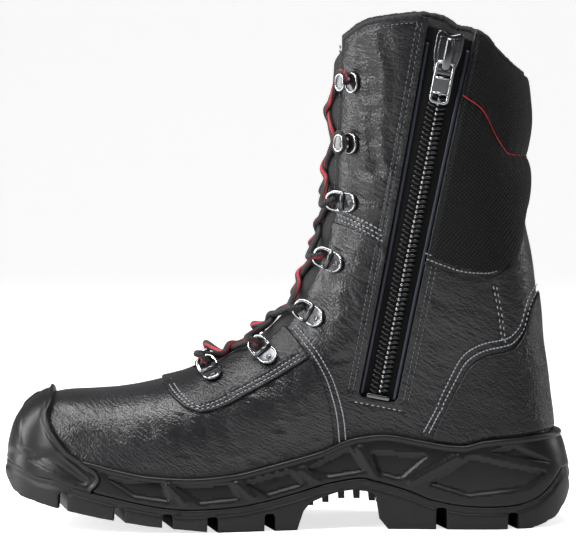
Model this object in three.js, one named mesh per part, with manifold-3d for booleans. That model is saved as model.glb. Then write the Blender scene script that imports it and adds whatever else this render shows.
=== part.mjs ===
// High safety boot with laces and a side zip, right foot. Millimetres, +Z up.
// The toe points to -X and the inner side of the foot, where the zip is, faces -Y.
// The boot is worked out from one form: a half width W(x, z) over its side outline. Walls, linings,
// caps and patches are that form grown or shrunk, and cut by outlines drawn on its side view.
import * as THREE from "three";
import { mergeVertices } from "three/addons/utils/BufferGeometryUtils.js";
import Module from "manifold-3d";

const wasm = await Module();
wasm.setup();

// Driving sizes of the boot
const bootLength = 310;       // toe to heel over the sole
const bootHeight = 281;       // floor to the top of the leather collar
const soleHeight = 50;        // floor to the top edge of the sole beside the heel
const ballWidth = 100;        // upper across the ball of the foot
const shaftWidth = 86;        // shaft across, at the collar

// Sizes of the layers
const gap = 0.3;              // clearance between pieces that touch
const wall = 2.2;             // leather and lining together
const quarterStep = 1.0;      // quarter panels stand proud of the shaft leather
const vampStep = 1.8;         // vamp stands proud of the shaft leather
const stayThickness = 1.4;    // patch under the lowest lace loops
const counterThickness = 1.6; // stiffener over the heel
const bumperThickness = 3.2;  // moulded cap over the toe
const padThickness = 5.2;     // padded collar at its fullest
const padEdge = 1.8;          // padded collar along its seams
const padSeat = 0.8;          // the collar's back stands off the round leather
const tongueThickness = 4.2;
const tongueRise = 1.5;       // tongue's middle, proud of its wings
const tongueWing = 9;         // tongue under each facing
const insoleThickness = 4.5;
const tapeThickness = 1.2;
const chainHeight = 2.8;

// Sizes of the sole
const lipOut = 4.3;           // top edge of the sole beyond the boot's form
const pocketDepth = 1.6;
const ribHeight = 1.1;
const grooveWidth = 6;
const channelWidth = 7;
const channelWave = 1.5;      // the middle channel runs from side to side by this much
const channelDepth = 8;
const grooveSweep = 9;        // grooves lean this far towards the toe on their way to the middle

// Sizes of the throat, laces and zip
const throatHalf = 18;        // half the opening between the facings
const loopInset = 8;          // lace hardware behind the edge of the facing
const laceDiameter = 3.6;
const wireDiameter = 2;
const zipWidth = 11;          // coil chain
const slotWidth = 21;         // opening in the leather at the foot of the zip
const slotFlare = 5;          // how much wider the opening is at the collar
const tapeMargin = 4;         // tape under the leather on each side
const sliderLength = 25;
const sliderWidth = 16;
const pullLength = 23;        // from its hinge bar to its end
const pullWidth = 11;

// Helpers for tables and curves
function table(columns, rows) {
  return rows.map((row) => Object.fromEntries(columns.map((name, i) => [name, row[i]])));
}

function lerp(a, b, share) {
  return a + (b - a) * share;
}

function smoothstep(low, high, value) {
  const share = Math.min(1, Math.max(0, (value - low) / (high - low)));
  return share * share * (3 - 2 * share);
}

// A smooth curve through keyed values that never swings past them.
function curve(keys, values) {
  const last = keys.length - 1;
  const steps = keys.slice(1).map((key, i) => key - keys[i]);
  const rises = steps.map((step, i) => (values[i + 1] - values[i]) / step);
  const slopes = keys.map((key, i) => {
    if (i === 0) return rises[0];
    if (i === last) return rises[last - 1];
    if (rises[i - 1] * rises[i] <= 0) return 0;
    const before = steps[i] * 2 + steps[i - 1];
    const after = steps[i] + steps[i - 1] * 2;
    return (before + after) / (before / rises[i - 1] + after / rises[i]);
  });
  return (at) => {
    if (at <= keys[0]) return values[0];
    if (at >= keys[last]) return values[last];
    let low = 0;
    let high = last;
    while (high - low > 1) {
      const middle = (low + high) >> 1;
      if (keys[middle] <= at) low = middle;
      else high = middle;
    }
    const t = (at - keys[low]) / steps[low];
    const hermite = (2 * t ** 3 - 3 * t ** 2 + 1) * values[low]
      + (t ** 3 - 2 * t ** 2 + t) * steps[low] * slopes[low]
      + (3 * t ** 2 - 2 * t ** 3) * values[low + 1]
      + (t ** 3 - t ** 2) * steps[low] * slopes[low + 1];
    return hermite;
  };
}

// A column of a table as a curve over another column, both scaled to millimetres.
function column(rows, key, keySize, value, valueSize) {
  return curve(rows.map((row) => row[key] * keySize), rows.map((row) => row[value] * valueSize));
}

// Side outline: the ridge runs from under the toe over the instep and up the front of the shaft
const ridgeRows = table(["along", "up"], [
  [0.029, 0.060], [0.019, 0.089], [0.016, 0.121], [0.021, 0.158], [0.029, 0.192], [0.040, 0.214],
  [0.055, 0.231], [0.071, 0.243], [0.090, 0.251], [0.116, 0.255], [0.152, 0.257], [0.187, 0.259],
  [0.226, 0.264], [0.252, 0.269], [0.273, 0.274], [0.297, 0.280], [0.323, 0.288], [0.342, 0.297],
  [0.365, 0.308], [0.389, 0.320], [0.429, 0.344], [0.468, 0.377], [0.495, 0.407], [0.510, 0.431],
  [0.526, 0.464], [0.539, 0.495], [0.548, 0.521], [0.559, 0.553], [0.569, 0.605], [0.575, 0.673],
  [0.578, 0.731], [0.581, 0.790], [0.584, 0.847], [0.586, 0.947], [0.588, 1.068],
]);

// Back line, from under the heel to above the collar
const backRows = table(["along", "up"], [
  [0.972, 0.060], [0.972, 0.085], [0.968, 0.142], [0.965, 0.185], [0.962, 0.214], [0.957, 0.256],
  [0.951, 0.310], [0.944, 0.363], [0.941, 0.413], [0.937, 0.448], [0.930, 0.520], [0.923, 0.559],
  [0.917, 0.591], [0.914, 0.633], [0.913, 0.712], [0.914, 0.783], [0.915, 0.890], [0.916, 1.068],
]);

// Top edge of the sole, and the board that the foot stands on, as heights of the sole
const featherRows = table(["along", "up"], [
  [0.000, 0.800], [0.065, 0.820], [0.144, 0.774], [0.198, 0.692], [0.264, 0.616], [0.331, 0.594],
  [0.399, 0.626], [0.465, 0.714], [0.518, 0.794], [0.552, 0.850], [0.618, 1.000], [0.668, 1.034],
  [0.733, 0.974], [0.783, 0.924], [0.806, 0.916], [0.845, 0.970], [0.916, 1.010], [0.968, 1.040],
]);
const boardRows = table(["along", "up"], [
  [0.000, 0.540], [0.048, 0.490], [0.097, 0.440], [0.194, 0.380], [0.258, 0.360], [0.323, 0.352],
  [0.387, 0.364], [0.452, 0.406], [0.516, 0.472], [0.581, 0.548], [0.645, 0.612], [0.710, 0.640],
  [0.839, 0.652], [1.000, 0.656],
]);

// Half widths and middle line of the foot, as shares of the ball width
const footRows = table(["along", "half", "middle"], [
  [0.000, 0.420, -0.080], [0.097, 0.430, -0.050], [0.194, 0.460, -0.028], [0.290, 0.493, -0.005],
  [0.355, 0.500, 0.018], [0.419, 0.478, 0.042], [0.484, 0.438, 0.058], [0.548, 0.395, 0.060],
  [0.613, 0.360, 0.050], [0.677, 0.340, 0.034], [0.742, 0.335, 0.017], [0.806, 0.337, 0.005],
  [0.871, 0.335, -0.002], [1.000, 0.330, 0.000],
]);
const ridgeMiddleRows = table(["along", "middle"], [
  [0.000, -0.080], [0.097, -0.052], [0.258, -0.022], [0.419, 0.000], [1.000, 0.000],
]);

// Half widths of the shaft, as shares of its width at the collar
const shaftRows = table(["up", "half"], [
  [0.214, 0.390], [0.302, 0.395], [0.391, 0.413], [0.480, 0.430], [0.569, 0.442], [0.676, 0.459],
  [0.783, 0.477], [0.890, 0.492], [1.000, 0.500], [1.085, 0.503],
]);

// How far the form takes to round over: below the ridge, behind the front, and before the back
const roofRows = table(["along", "depth"], [
  [0.000, 0.093], [0.129, 0.107], [0.258, 0.128], [0.355, 0.157], [0.452, 0.200], [0.548, 0.220],
]);
const roundRows = table(["up", "front", "back"], [
  [0.213, 0.200, 0.129], [0.356, 0.168, 0.142], [0.498, 0.155, 0.155], [0.570, 0.155, 0.161],
]);
const ridgePower = 2.3;
const backPower = 2.2;
const tuck = 5;               // the form draws in towards the board

const feather = column(featherRows, "along", bootLength, "up", soleHeight);
const board = column(boardRows, "along", bootLength, "up", soleHeight);
const backAt = column(backRows, "up", bootHeight, "along", bootLength);
const footHalf = column(footRows, "along", bootLength, "half", ballWidth);
const footMiddle = column(footRows, "along", bootLength, "middle", ballWidth);
const ridgeMiddle = column(ridgeMiddleRows, "along", bootLength, "middle", ballWidth);
const shaftHalf = column(shaftRows, "up", bootHeight, "half", shaftWidth);
const roofDepth = column(roofRows, "along", bootLength, "depth", bootHeight);
const frontRound = column(roundRows, "up", bootHeight, "front", bootLength);
const backRound = column(roundRows, "up", bootHeight, "back", bootLength);

// The ridge as a path over its own length
const ridgePoints = ridgeRows.map((row) => new THREE.Vector2(row.along * bootLength, row.up * bootHeight));
const ridgeLengths = ridgePoints.map(() => 0);
for (let i = 1; i < ridgePoints.length; i += 1) {
  ridgeLengths[i] = ridgeLengths[i - 1] + ridgePoints[i].distanceTo(ridgePoints[i - 1]);
}
const ridgeLength = ridgeLengths.at(-1);
const ridgeX = curve(ridgeLengths, ridgePoints.map((point) => point.x));
const ridgeZ = curve(ridgeLengths, ridgePoints.map((point) => point.y));

function ridgeAt(share) {
  return new THREE.Vector2(ridgeX(share * ridgeLength), ridgeZ(share * ridgeLength));
}

// The ridge sampled once, to find its height over a place and its front at a height.
const ridgeSamples = Array.from({ length: 401 }, (unused, i) => ridgeAt(i / 400));
const toeSample = ridgeSamples.reduce((best, point, i) => (point.x < ridgeSamples[best].x ? i : best), 0);

function sampled(from, key, value, at) {
  let low = from;
  let high = ridgeSamples.length - 1;
  if (at <= ridgeSamples[low][key]) return ridgeSamples[low][value];
  if (at >= ridgeSamples[high][key]) return ridgeSamples[high][value];
  while (high - low > 1) {
    const middle = (low + high) >> 1;
    if (ridgeSamples[middle][key] <= at) low = middle;
    else high = middle;
  }
  const a = ridgeSamples[low];
  const b = ridgeSamples[high];
  return lerp(a[value], b[value], (at - a[key]) / (b[key] - a[key]));
}

const farAbove = 4 * bootHeight;

function topZ(x) {
  return x >= ridgeSamples.at(-1).x ? farAbove : sampled(toeSample, "x", "y", x);
}

function frontX(z) {
  return sampled(0, "y", "x", z);
}

// A round shoulder: 0 at the edge and 1 from a full share inwards.
function shoulder(share, power) {
  const inside = 1 - Math.min(1, Math.max(0, share));
  return (1 - inside ** power) ** (1 / power);
}

// The form itself
function halfWidth(x, z) {
  const below = Math.max(topZ(x) - z, 1e-6) / roofDepth(x);
  const behind = Math.max(x - frontX(z), 1e-6) / frontRound(z);
  const ridgeShare = 1 / Math.hypot(1 / below, 1 / behind);
  const backShare = (backAt(z) - x) / backRound(z);
  const ankle = smoothstep(0.21 * bootHeight, 0.41 * bootHeight, z)
    * smoothstep(0.35 * bootLength, 0.53 * bootLength, x);
  const height = Math.min(1, (z - board(x)) / (feather(x) - board(x)));
  const drawn = tuck * (1 - height) ** 2;
  const base = lerp(footHalf(x), shaftHalf(z), ankle) - Math.min(drawn, 1.7 * tuck);
  return base * shoulder(ridgeShare, ridgePower) * shoulder(backShare, backPower);
}

function middle(x, z) {
  const height = smoothstep(feather(x), Math.min(topZ(x), 0.4 * bootHeight), z);
  return lerp(footMiddle(x), ridgeMiddle(x), height);
}

// Chords run from the ridge to the foot of the form and, past the heel, to the back line
const footMargin = 6;         // the form goes on below the board, where it is cut off
const formTop = ridgeRows.at(-1).up * bootHeight;
const heelZ = board(0.97 * bootLength) - footMargin;
const heelX = backAt(heelZ);
const floorShare = (heelX - ridgeAt(0).x) / (heelX - ridgeAt(0).x + formTop - heelZ);

function footOfChord(share) {
  if (share >= floorShare) {
    const z = lerp(heelZ, formTop, (share - floorShare) / (1 - floorShare));
    return new THREE.Vector2(backAt(z), z);
  }
  const x = lerp(ridgeAt(0).x, heelX, share / floorShare);
  const start = smoothstep(0, 0.06, share);
  return new THREE.Vector2(x, lerp(ridgeAt(0).y, board(x) - footMargin, start));
}

function formPoint(share, across) {
  const from = ridgeAt(share);
  const to = footOfChord(share);
  const reach = Math.abs(across);
  const open = 1 - Math.cos(reach * Math.PI / 2);
  const closed = (1 - Math.cos(reach * Math.PI)) / 2;
  const along = lerp(open, closed, smoothstep(floorShare - 0.1, floorShare, share));
  const x = lerp(from.x, to.x, along);
  const z = lerp(from.y, to.y, along);
  const half = share === 0 ? 0 : halfWidth(x, z);
  return new THREE.Vector3(x, middle(x, z) + Math.sign(across) * half, z);
}

function formNormal(share, across) {
  if (share === 0) return new THREE.Vector3(-1, 0, 0);
  const step = 0.004;
  const round = share >= floorShare && Math.abs(across) === 1;
  const before = round ? 1 - step : Math.max(-1, across - step);
  const after = round ? -1 + step : Math.min(1, across + step);
  const around = formPoint(share, after).sub(formPoint(share, before));
  const low = Math.max(0, share - step);
  const high = Math.min(1, share + step);
  const onward = formPoint(high, across).sub(formPoint(low, across));
  return onward.cross(around).normalize();
}

// Solids from vertices and faces
function geometryOf(points, faces) {
  const geometry = new THREE.BufferGeometry();
  geometry.setAttribute("position", new THREE.Float32BufferAttribute(points.flatMap((p) => p.toArray()), 3));
  geometry.setIndex(faces.flat());
  return geometry;
}

function merged(geometry) {
  const plain = geometry.clone();
  plain.deleteAttribute("normal");
  plain.deleteAttribute("uv");
  const joined = mergeVertices(plain, 1e-4);
  const index = joined.index.array;
  const kept = [];
  for (let i = 0; i < index.length; i += 3) {
    const [a, b, c] = [index[i], index[i + 1], index[i + 2]];
    if (a !== b && b !== c && c !== a) kept.push(a, b, c);
  }
  joined.setIndex(kept);
  return joined;
}

function solid(geometry) {
  const closed = merged(geometry);
  return new wasm.Manifold(new wasm.Mesh({
    numProp: 3,
    vertProperties: new Float32Array(closed.attributes.position.array),
    triVerts: new Uint32Array(closed.index.array),
  }));
}

// The form grown by a distance, closed below the foot and above the collar.
const chordCount = 29;
const acrossCount = 6;
const shareBias = 1.25;       // more chords at the toe, where the form turns most

function grownForm(distance) {
  const rows = [];
  const points = [];
  for (let i = 0; i <= chordCount; i += 1) {
    const share = (i / chordCount) ** shareBias;
    const row = [];
    for (let j = -acrossCount; j <= acrossCount; j += 1) {
      const across = j / acrossCount;
      const normal = formNormal(share, across);
      if (j === 0 || (share >= floorShare && Math.abs(across) === 1)) {
        normal.y = 0;
        normal.normalize();
      }
      row.push(points.length);
      points.push(formPoint(share, across).addScaledVector(normal, distance));
    }
    rows.push(row);
  }
  const faces = [];
  const width = 2 * acrossCount;
  for (let i = 0; i < chordCount; i += 1) {
    for (let j = 0; j < width; j += 1) {
      const [a, b, c, d] = [rows[i][j], rows[i][j + 1], rows[i + 1][j + 1], rows[i + 1][j]];
      faces.push([a, c, b], [a, d, c]);
    }
    const [a, b, c, d] = [rows[i][width], rows[i][0], rows[i + 1][0], rows[i + 1][width]];
    faces.push([a, c, b], [a, d, c]);
  }
  const top = rows[chordCount];
  for (let j = 0; j < acrossCount; j += 1) {
    const [a, b, c, d] = [top[j], top[j + 1], top[width - j - 1], top[width - j]];
    faces.push([a, c, b], [a, d, c]);
  }
  return solid(geometryOf(points, faces));
}

const forms = new Map();

function form(distance) {
  const key = distance.toFixed(3);
  if (!forms.has(key)) forms.set(key, grownForm(distance));
  return forms.get(key);
}

function shell(inner, outer) {
  return form(outer).subtract(form(inner));
}

// Outlines drawn on the side view, as prisms across the boot
const acrossAll = 2 * ballWidth;

function sidePrism(outline, from = -acrossAll, to = acrossAll) {
  const shape = new THREE.Shape(outline.map(([x, z]) => new THREE.Vector2(x, z)));
  const geometry = new THREE.ExtrudeGeometry(shape, { depth: to - from, bevelEnabled: false });
  geometry.rotateX(Math.PI / 2);
  geometry.translate(0, to, 0);
  return solid(geometry);
}

function planPrism(outline, from, to) {
  const shape = new THREE.Shape(outline.map(([x, y]) => new THREE.Vector2(x, y)));
  const geometry = new THREE.ExtrudeGeometry(shape, { depth: to - from, bevelEnabled: false });
  geometry.translate(0, 0, from);
  return solid(geometry);
}

const inLength = ([along, up]) => [along * bootLength, up * bootHeight];
const inSole = ([along, up]) => [along * bootLength, up * soleHeight];

function edge(height, from, to, count, lift = 0) {
  return Array.from({ length: count + 1 }, (unused, i) => {
    const x = lerp(from, to, i / count);
    return [x, height(x) + lift];
  });
}

// Board and collar close the upper below and above
const collarRows = table(["along", "up"], [
  [0.540, 0.940], [0.598, 0.948], [0.613, 0.960], [0.629, 0.973], [0.650, 0.981], [0.690, 0.988],
  [0.731, 0.992], [0.757, 0.990], [0.784, 0.982], [0.804, 0.967], [0.828, 0.962], [0.846, 0.950],
  [0.860, 0.931], [0.874, 0.915], [0.897, 0.892], [0.913, 0.879], [0.940, 0.865],
]);
const collar = column(collarRows, "along", bootLength, "up", bootHeight);
const boardLine = edge(board, -0.05 * bootLength, 1.05 * bootLength, 14, gap);
const collarLine = edge(collar, 0.53 * bootLength, 0.96 * bootLength, 16).reverse();
const upperSide = sidePrism([
  ...boardLine,
  [1.05 * bootLength, 0.86 * bootHeight],
  ...collarLine,
  [-0.05 * bootLength, 0.94 * bootHeight],
]);

// The zip runs straight from beside the arch up to the collar
const zipFoot = new THREE.Vector2(0.6565 * bootLength, 0.2490 * bootHeight);
const zipHead = new THREE.Vector2(0.7855 * bootLength, 0.9720 * bootHeight);
const zipLength = zipFoot.distanceTo(zipHead);
const zipUp = zipHead.clone().sub(zipFoot).normalize();
const zipAcross = new THREE.Vector2(zipUp.y, -zipUp.x);

function zipPoint(up, across) {
  return zipFoot.clone().addScaledVector(zipUp, up).addScaledVector(zipAcross, across);
}

function slotHalf(up) {
  return slotWidth / 2 + (slotFlare / 2) * Math.max(0, up / zipLength) ** 2;
}

// Padded collar: two cushions around the back of the shaft, with a crease between them.
// Around is 0 at the back line and 1 at the edge beside the zip.
const padRows = table(["around", "low", "crease", "top"], [
  [0.00, 0.612, 0.717, 0.872], [0.15, 0.594, 0.719, 0.874], [0.30, 0.539, 0.722, 0.881],
  [0.45, 0.502, 0.726, 0.890], [0.60, 0.491, 0.756, 0.905], [0.80, 0.500, 0.813, 0.932],
  [1.00, 0.522, 0.839, 0.956],
]);
const padLow = column(padRows, "around", 1, "low", bootHeight);
const padCrease = column(padRows, "around", 1, "crease", bootHeight);
const padTop = column(padRows, "around", 1, "top", bootHeight);
const padAroundCount = 7;

function zipEdgeX(z) {
  const up = (z - zipFoot.y) / zipUp.y;
  return zipPoint(up, slotHalf(up) + 1.5).x;
}

function padX(around, z) {
  return lerp(backAt(z), zipEdgeX(z), 1 - Math.cos(Math.abs(around) * Math.PI / 2));
}

// Panels that stand proud of the shaft leather and go down into the sole
const vampEdge = [[0.494, 0.402], [0.512, 0.365], [0.537, 0.333], [0.556, 0.297], [0.568, 0.257],
  [0.577, 0.212], [0.582, 0.159]].map(inLength);
const vampSide = sidePrism([
  [-0.05 * bootLength, 0],
  [vampEdge.at(-1)[0], 0],
  ...[...vampEdge].reverse(),
  [0.494 * bootLength, 0.5 * bootHeight],
  [-0.05 * bootLength, 0.5 * bootHeight],
]);
const quarterTop = [[0.500, 0.620], [0.556, 0.600], [0.579, 0.593], [0.612, 0.581], [0.650, 0.560],
  [0.673, 0.547]].map(inLength);
const padEdges = Array.from({ length: padAroundCount + 1 }, (unused, i) => 1 - i / padAroundCount);
const rearTop = [
  [zipEdgeX(0.518 * bootHeight) - 6, 0.518 * bootHeight],
  ...padEdges.map((around) => [padX(around, padLow(around)), padLow(around)]),
  [1.05 * bootLength, padLow(0)],
];
const quarterSide = sidePrism([
  [0.45 * bootLength, 0],
  [1.05 * bootLength, 0],
  ...[...rearTop].reverse(),
  ...[...quarterTop].reverse(),
  [0.45 * bootLength, 0.64 * bootHeight],
]);

// A band along the ridge with a round lower end, as a cutter for the throat and as the tongue's outline
function ridgeBand(from, to, half, inward, outward, count) {
  const corners = [];
  const roundShare = half / ridgeLength;
  for (let i = 0; i <= count; i += 1) {
    const share = lerp(from, to, (i / count) ** 1.6);
    const end = Math.max(0, 1 - (share - from) / roundShare);
    const width = Math.max(0.12, Math.sqrt(1 - end * end)) * half;
    const centre = ridgeAt(share);
    const tangent = ridgeAt(share + 0.004).sub(ridgeAt(share - 0.004)).normalize();
    const y = middle(centre.x, centre.y);
    for (const [side, lift] of [[-1, outward], [1, outward], [1, -inward], [-1, -inward]]) {
      const [x, z] = [centre.x - tangent.y * lift, centre.y + tangent.x * lift];
      corners.push(new THREE.Vector3(x, y + side * width, z));
    }
  }
  const faces = [];
  for (let i = 0; i < count; i += 1) {
    for (let k = 0; k < 4; k += 1) {
      const [a, b] = [4 * i + k, 4 * i + (k + 1) % 4];
      faces.push([a, b + 4, b], [a, a + 4, b + 4]);
    }
  }
  const last = 4 * count;
  faces.push([0, 1, 2], [0, 2, 3], [last, last + 2, last + 1], [last, last + 3, last + 2]);
  return solid(geometryOf(corners, faces));
}

const throatStart = 0.36;     // share of the ridge where the throat begins
const throatEnd = 0.995;
const bandIn = 26;            // cutters along the ridge reach this far in and out
const bandOut = 14;

function zipBand(from, to, extra, count) {
  const ups = Array.from({ length: count + 1 }, (unused, i) => lerp(from, to, i / count));
  const right = ups.map((up) => zipPoint(up, slotHalf(up) + extra).toArray());
  const left = ups.map((up) => zipPoint(up, -slotHalf(up) - extra).toArray());
  return [...right, ...left.reverse()];
}

const innerSide = (outline) => sidePrism(outline, -acrossAll, 0);

function makeUpper() {
  const vamp = form(vampStep).intersect(vampSide);
  const quarters = form(quarterStep).intersect(quarterSide);
  const outside = form(0).add(vamp).add(quarters);
  const throat = ridgeBand(throatStart, throatEnd, throatHalf, bandIn, bandOut, 12);
  const slot = innerSide(zipBand(0, zipLength + 20, 0, 4));
  return outside.subtract(form(-wall)).intersect(upperSide).subtract(throat).subtract(slot);
}

function makeInsole() {
  const top = edge(board, 0, bootLength, 14, gap + insoleThickness);
  const bottom = edge(board, 0, bootLength, 14, gap);
  return form(-wall - gap).intersect(sidePrism([...bottom, ...top.reverse()]));
}

const tongueTop = 0.945;      // height of the tongue as a share of the boot's height

function makeTongue() {
  const top = -wall - gap;
  const wings = shell(top - tongueThickness, top)
    .intersect(ridgeBand(throatStart - 0.035, throatEnd, throatHalf + tongueWing, bandIn + 4, bandOut, 8));
  const rise = shell(top - tongueThickness, tongueRise - wall)
    .intersect(ridgeBand(throatStart + 0.006, throatEnd, throatHalf - 2 * gap, bandIn, bandOut, 10));
  const tip = tongueTop * bootHeight;
  const below = sidePrism([[0, 0], [bootLength, 0], [bootLength, tip], [0, tip]]);
  return wings.add(rise).intersect(below);
}

// The cup that the upper stands in, wider where the vamp goes down into it
function cupUnder(distance, from, to, count) {
  return form(distance).intersect(sidePrism([
    ...edge(board, from, to, count),
    [to, bootHeight],
    [from, bootHeight],
  ]));
}

const vampEnd = vampEdge.at(-1)[0] + gap;
const cup = cupUnder(vampStep + gap, -0.05 * bootLength, vampEnd, 9)
  .add(cupUnder(quarterStep + gap, vampEnd - 1, 1.05 * bootLength, 7));

// The sole's side wall: rings around the form's outline, drawn out at the heel
const wallRows = table(["down", "out", "heel"], [
  [0.00, 0.0, 0.9], [0.05, 0.4, 1.4], [0.22, 1.3, 3.2], [0.48, 1.7, 5.2], [0.74, 1.5, 3.2],
  [1.05, 0.3, 0.0],
]);
const outlineCount = 20;

function soleOutline() {
  const toe = frontX(feather(0));
  const heel = backAt(feather(0.968 * bootLength));
  const sides = [];
  for (let i = 0; i <= outlineCount; i += 1) {
    const x = lerp(toe, heel, (1 - Math.cos(Math.PI * i / outlineCount)) / 2);
    const half = i === 0 || i === outlineCount ? 0 : halfWidth(x, feather(x));
    sides.push({ x, half, y: middle(x, feather(x)) });
  }
  const inner = sides.map(({ x, half, y }) => new THREE.Vector2(x, y - half));
  const outer = sides.slice(1, -1).reverse().map(({ x, half, y }) => new THREE.Vector2(x, y + half));
  return [...inner, ...outer];
}

function soleForm(extra) {
  const outline = soleOutline();
  const count = outline.length;
  const points = [];
  for (const row of wallRows) {
    outline.forEach((point, i) => {
      const before = outline[(i + count - 1) % count];
      const after = outline[(i + 1) % count];
      const tangent = after.clone().sub(before).normalize();
      const out = lipOut + row.out + extra;
      const back = row.heel * smoothstep(0.84 * bootLength, 0.97 * bootLength, point.x);
      const x = point.x + tangent.y * out + back;
      const y = point.y - tangent.x * out;
      points.push(new THREE.Vector3(x, y, feather(point.x) * (1 - row.down)));
    });
  }
  const faces = [];
  for (let k = 0; k < wallRows.length - 1; k += 1) {
    for (let i = 0; i < count; i += 1) {
      const [a, b] = [k * count + i, k * count + (i + 1) % count];
      faces.push([a, a + count, b + count], [a, b + count, b]);
    }
  }
  const low = (wallRows.length - 1) * count;
  for (let i = 0; i < outlineCount; i += 1) {
    const [a, b] = [i, i + 1];
    const [c, d] = [(count - b) % count, (count - a) % count];
    faces.push([a, b, c], [a, c, d], [low + a, low + c, low + b], [low + a, low + d, low + c]);
  }
  return solid(geometryOf(points, faces));
}

// Line between outsole and midsole, and the bottom of the outsole with its arch
const splitRows = table(["along", "up"], [
  [-0.016, 0.760], [0.004, 0.740], [0.033, 0.664], [0.063, 0.588], [0.097, 0.552], [0.134, 0.470],
  [0.175, 0.404], [0.229, 0.328], [0.276, 0.274], [0.322, 0.246], [0.371, 0.252], [0.420, 0.274],
  [0.469, 0.328], [0.517, 0.404], [0.566, 0.492], [0.624, 0.552], [0.650, 0.524], [0.683, 0.470],
  [0.716, 0.404], [0.750, 0.318], [0.783, 0.274], [0.816, 0.246], [0.865, 0.242], [0.904, 0.260],
  [0.938, 0.328], [0.964, 0.464], [0.984, 0.630], [0.994, 0.780], [1.020, 0.830],
]);
const groundRows = table(["along", "up"], [
  [-0.016, 0.680], [0.002, 0.610], [0.007, 0.540], [0.018, 0.430], [0.030, 0.368], [0.050, 0.332],
  [0.081, 0.276], [0.113, 0.232], [0.177, 0.154], [0.258, 0.076], [0.339, 0.024], [0.374, 0.000],
  [0.516, 0.000], [0.527, 0.210], [0.539, 0.300], [0.563, 0.362], [0.589, 0.414], [0.614, 0.434],
  [0.639, 0.414], [0.655, 0.364], [0.660, 0.120], [0.676, 0.000], [0.929, 0.000], [0.954, 0.052],
  [0.970, 0.098], [0.982, 0.174], [0.993, 0.298], [0.998, 0.420], [1.002, 0.540], [1.020, 0.600],
]);
const splitLine = splitRows.map((row) => inSole([row.along, row.up]));
const groundLine = groundRows.map((row) => inSole([row.along, row.up]));

// Grooves across the tread, from the sole's edge to its middle channel
const grooveRows = table(["along", "roof"], [
  [0.090, 0.430], [0.187, 0.280], [0.270, 0.210], [0.350, 0.172], [0.455, 0.190],
  [0.762, 0.240], [0.887, 0.180],
]);
const barRows = table(["along", "up"], [
  [0.539, 0.226], [0.566, 0.260], [0.594, 0.304], [0.621, 0.306], [0.648, 0.282],
]);
const barWidth = 3.5;
const barHalf = 27;
const barHeight = 8;          // the bars go up into the arch's roof

function grooves() {
  const cutters = [];
  for (const { along, roof } of grooveRows) {
    const x = along * bootLength;
    for (const side of [-1, 1]) {
      const inX = x - grooveSweep;
      const edgeY = side * ballWidth;
      const sweptX = x + grooveSweep * (ballWidth / 40 - 1);
      const outline = [[inX, 0], [inX + grooveWidth, 0], [sweptX + grooveWidth, edgeY], [sweptX, edgeY]];
      cutters.push(planPrism(side > 0 ? outline : outline.reverse(), -1, roof * soleHeight));
    }
  }
  return cutters;
}

function channel(from, to) {
  const turns = 8;
  const points = Array.from({ length: turns + 1 }, (unused, i) => {
    const x = lerp(from, to, i / turns);
    return [x, footMiddle(x) + (i % 2 === 0 ? -channelWave : channelWave)];
  });
  const left = points.map(([x, y]) => [x, y - channelWidth / 2]);
  const right = points.map(([x, y]) => [x, y + channelWidth / 2]);
  return planPrism([...left, ...right.reverse()], -1, channelDepth);
}

function makeOutsole(outer) {
  let outsole = outer.intersect(sidePrism([...groundLine, ...[...splitLine].reverse()]));
  for (const { along, up } of barRows) {
    const x = along * bootLength;
    const bottom = up * soleHeight;
    const bar = [[x - barWidth / 2, bottom], [x + barWidth / 2, bottom],
      [x + barWidth / 2, bottom + barHeight], [x - barWidth / 2, bottom + barHeight]];
    outsole = outsole.add(sidePrism(bar, footMiddle(x) - barHalf, footMiddle(x) + barHalf));
  }
  for (const cutter of grooves()) outsole = outsole.subtract(cutter);
  outsole = outsole.subtract(channel(0.13 * bootLength, 0.49 * bootLength));
  outsole = outsole.subtract(channel(0.70 * bootLength, 0.92 * bootLength));
  return outsole.subtract(cup);
}

// The toe cap runs into the sole's wall and ends in a swept-back point
const capTop = [[0.140, 0.275], [0.086, 0.274], [0.090, 0.253], [0.091, 0.235], [0.085, 0.214],
  [0.092, 0.192]].map(inLength);
const capPoint = [[0.104, 0.972], [0.122, 0.849], [0.143, 0.764], [0.156, 0.714], [0.170, 0.658],
  [0.176, 0.584], [0.171, 0.506], [0.163, 0.450]].map(inSole);
const capEdge = [...capTop, ...capPoint];
const capFront = [-0.05 * bootLength, 0.4 * bootHeight];

function makeToeCap(outer) {
  const side = sidePrism([
    ...splitLine.filter(([x]) => x < capEdge.at(-1)[0]).map(([x, z]) => [x, z + gap]),
    ...capEdge.slice(1).reverse(),
    [capEdge[1][0], 0.4 * bootHeight],
    capFront,
  ]);
  return outer.add(form(vampStep + gap + bumperThickness)).intersect(side).subtract(cup)
    .subtract(form(vampStep + gap));
}

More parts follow.
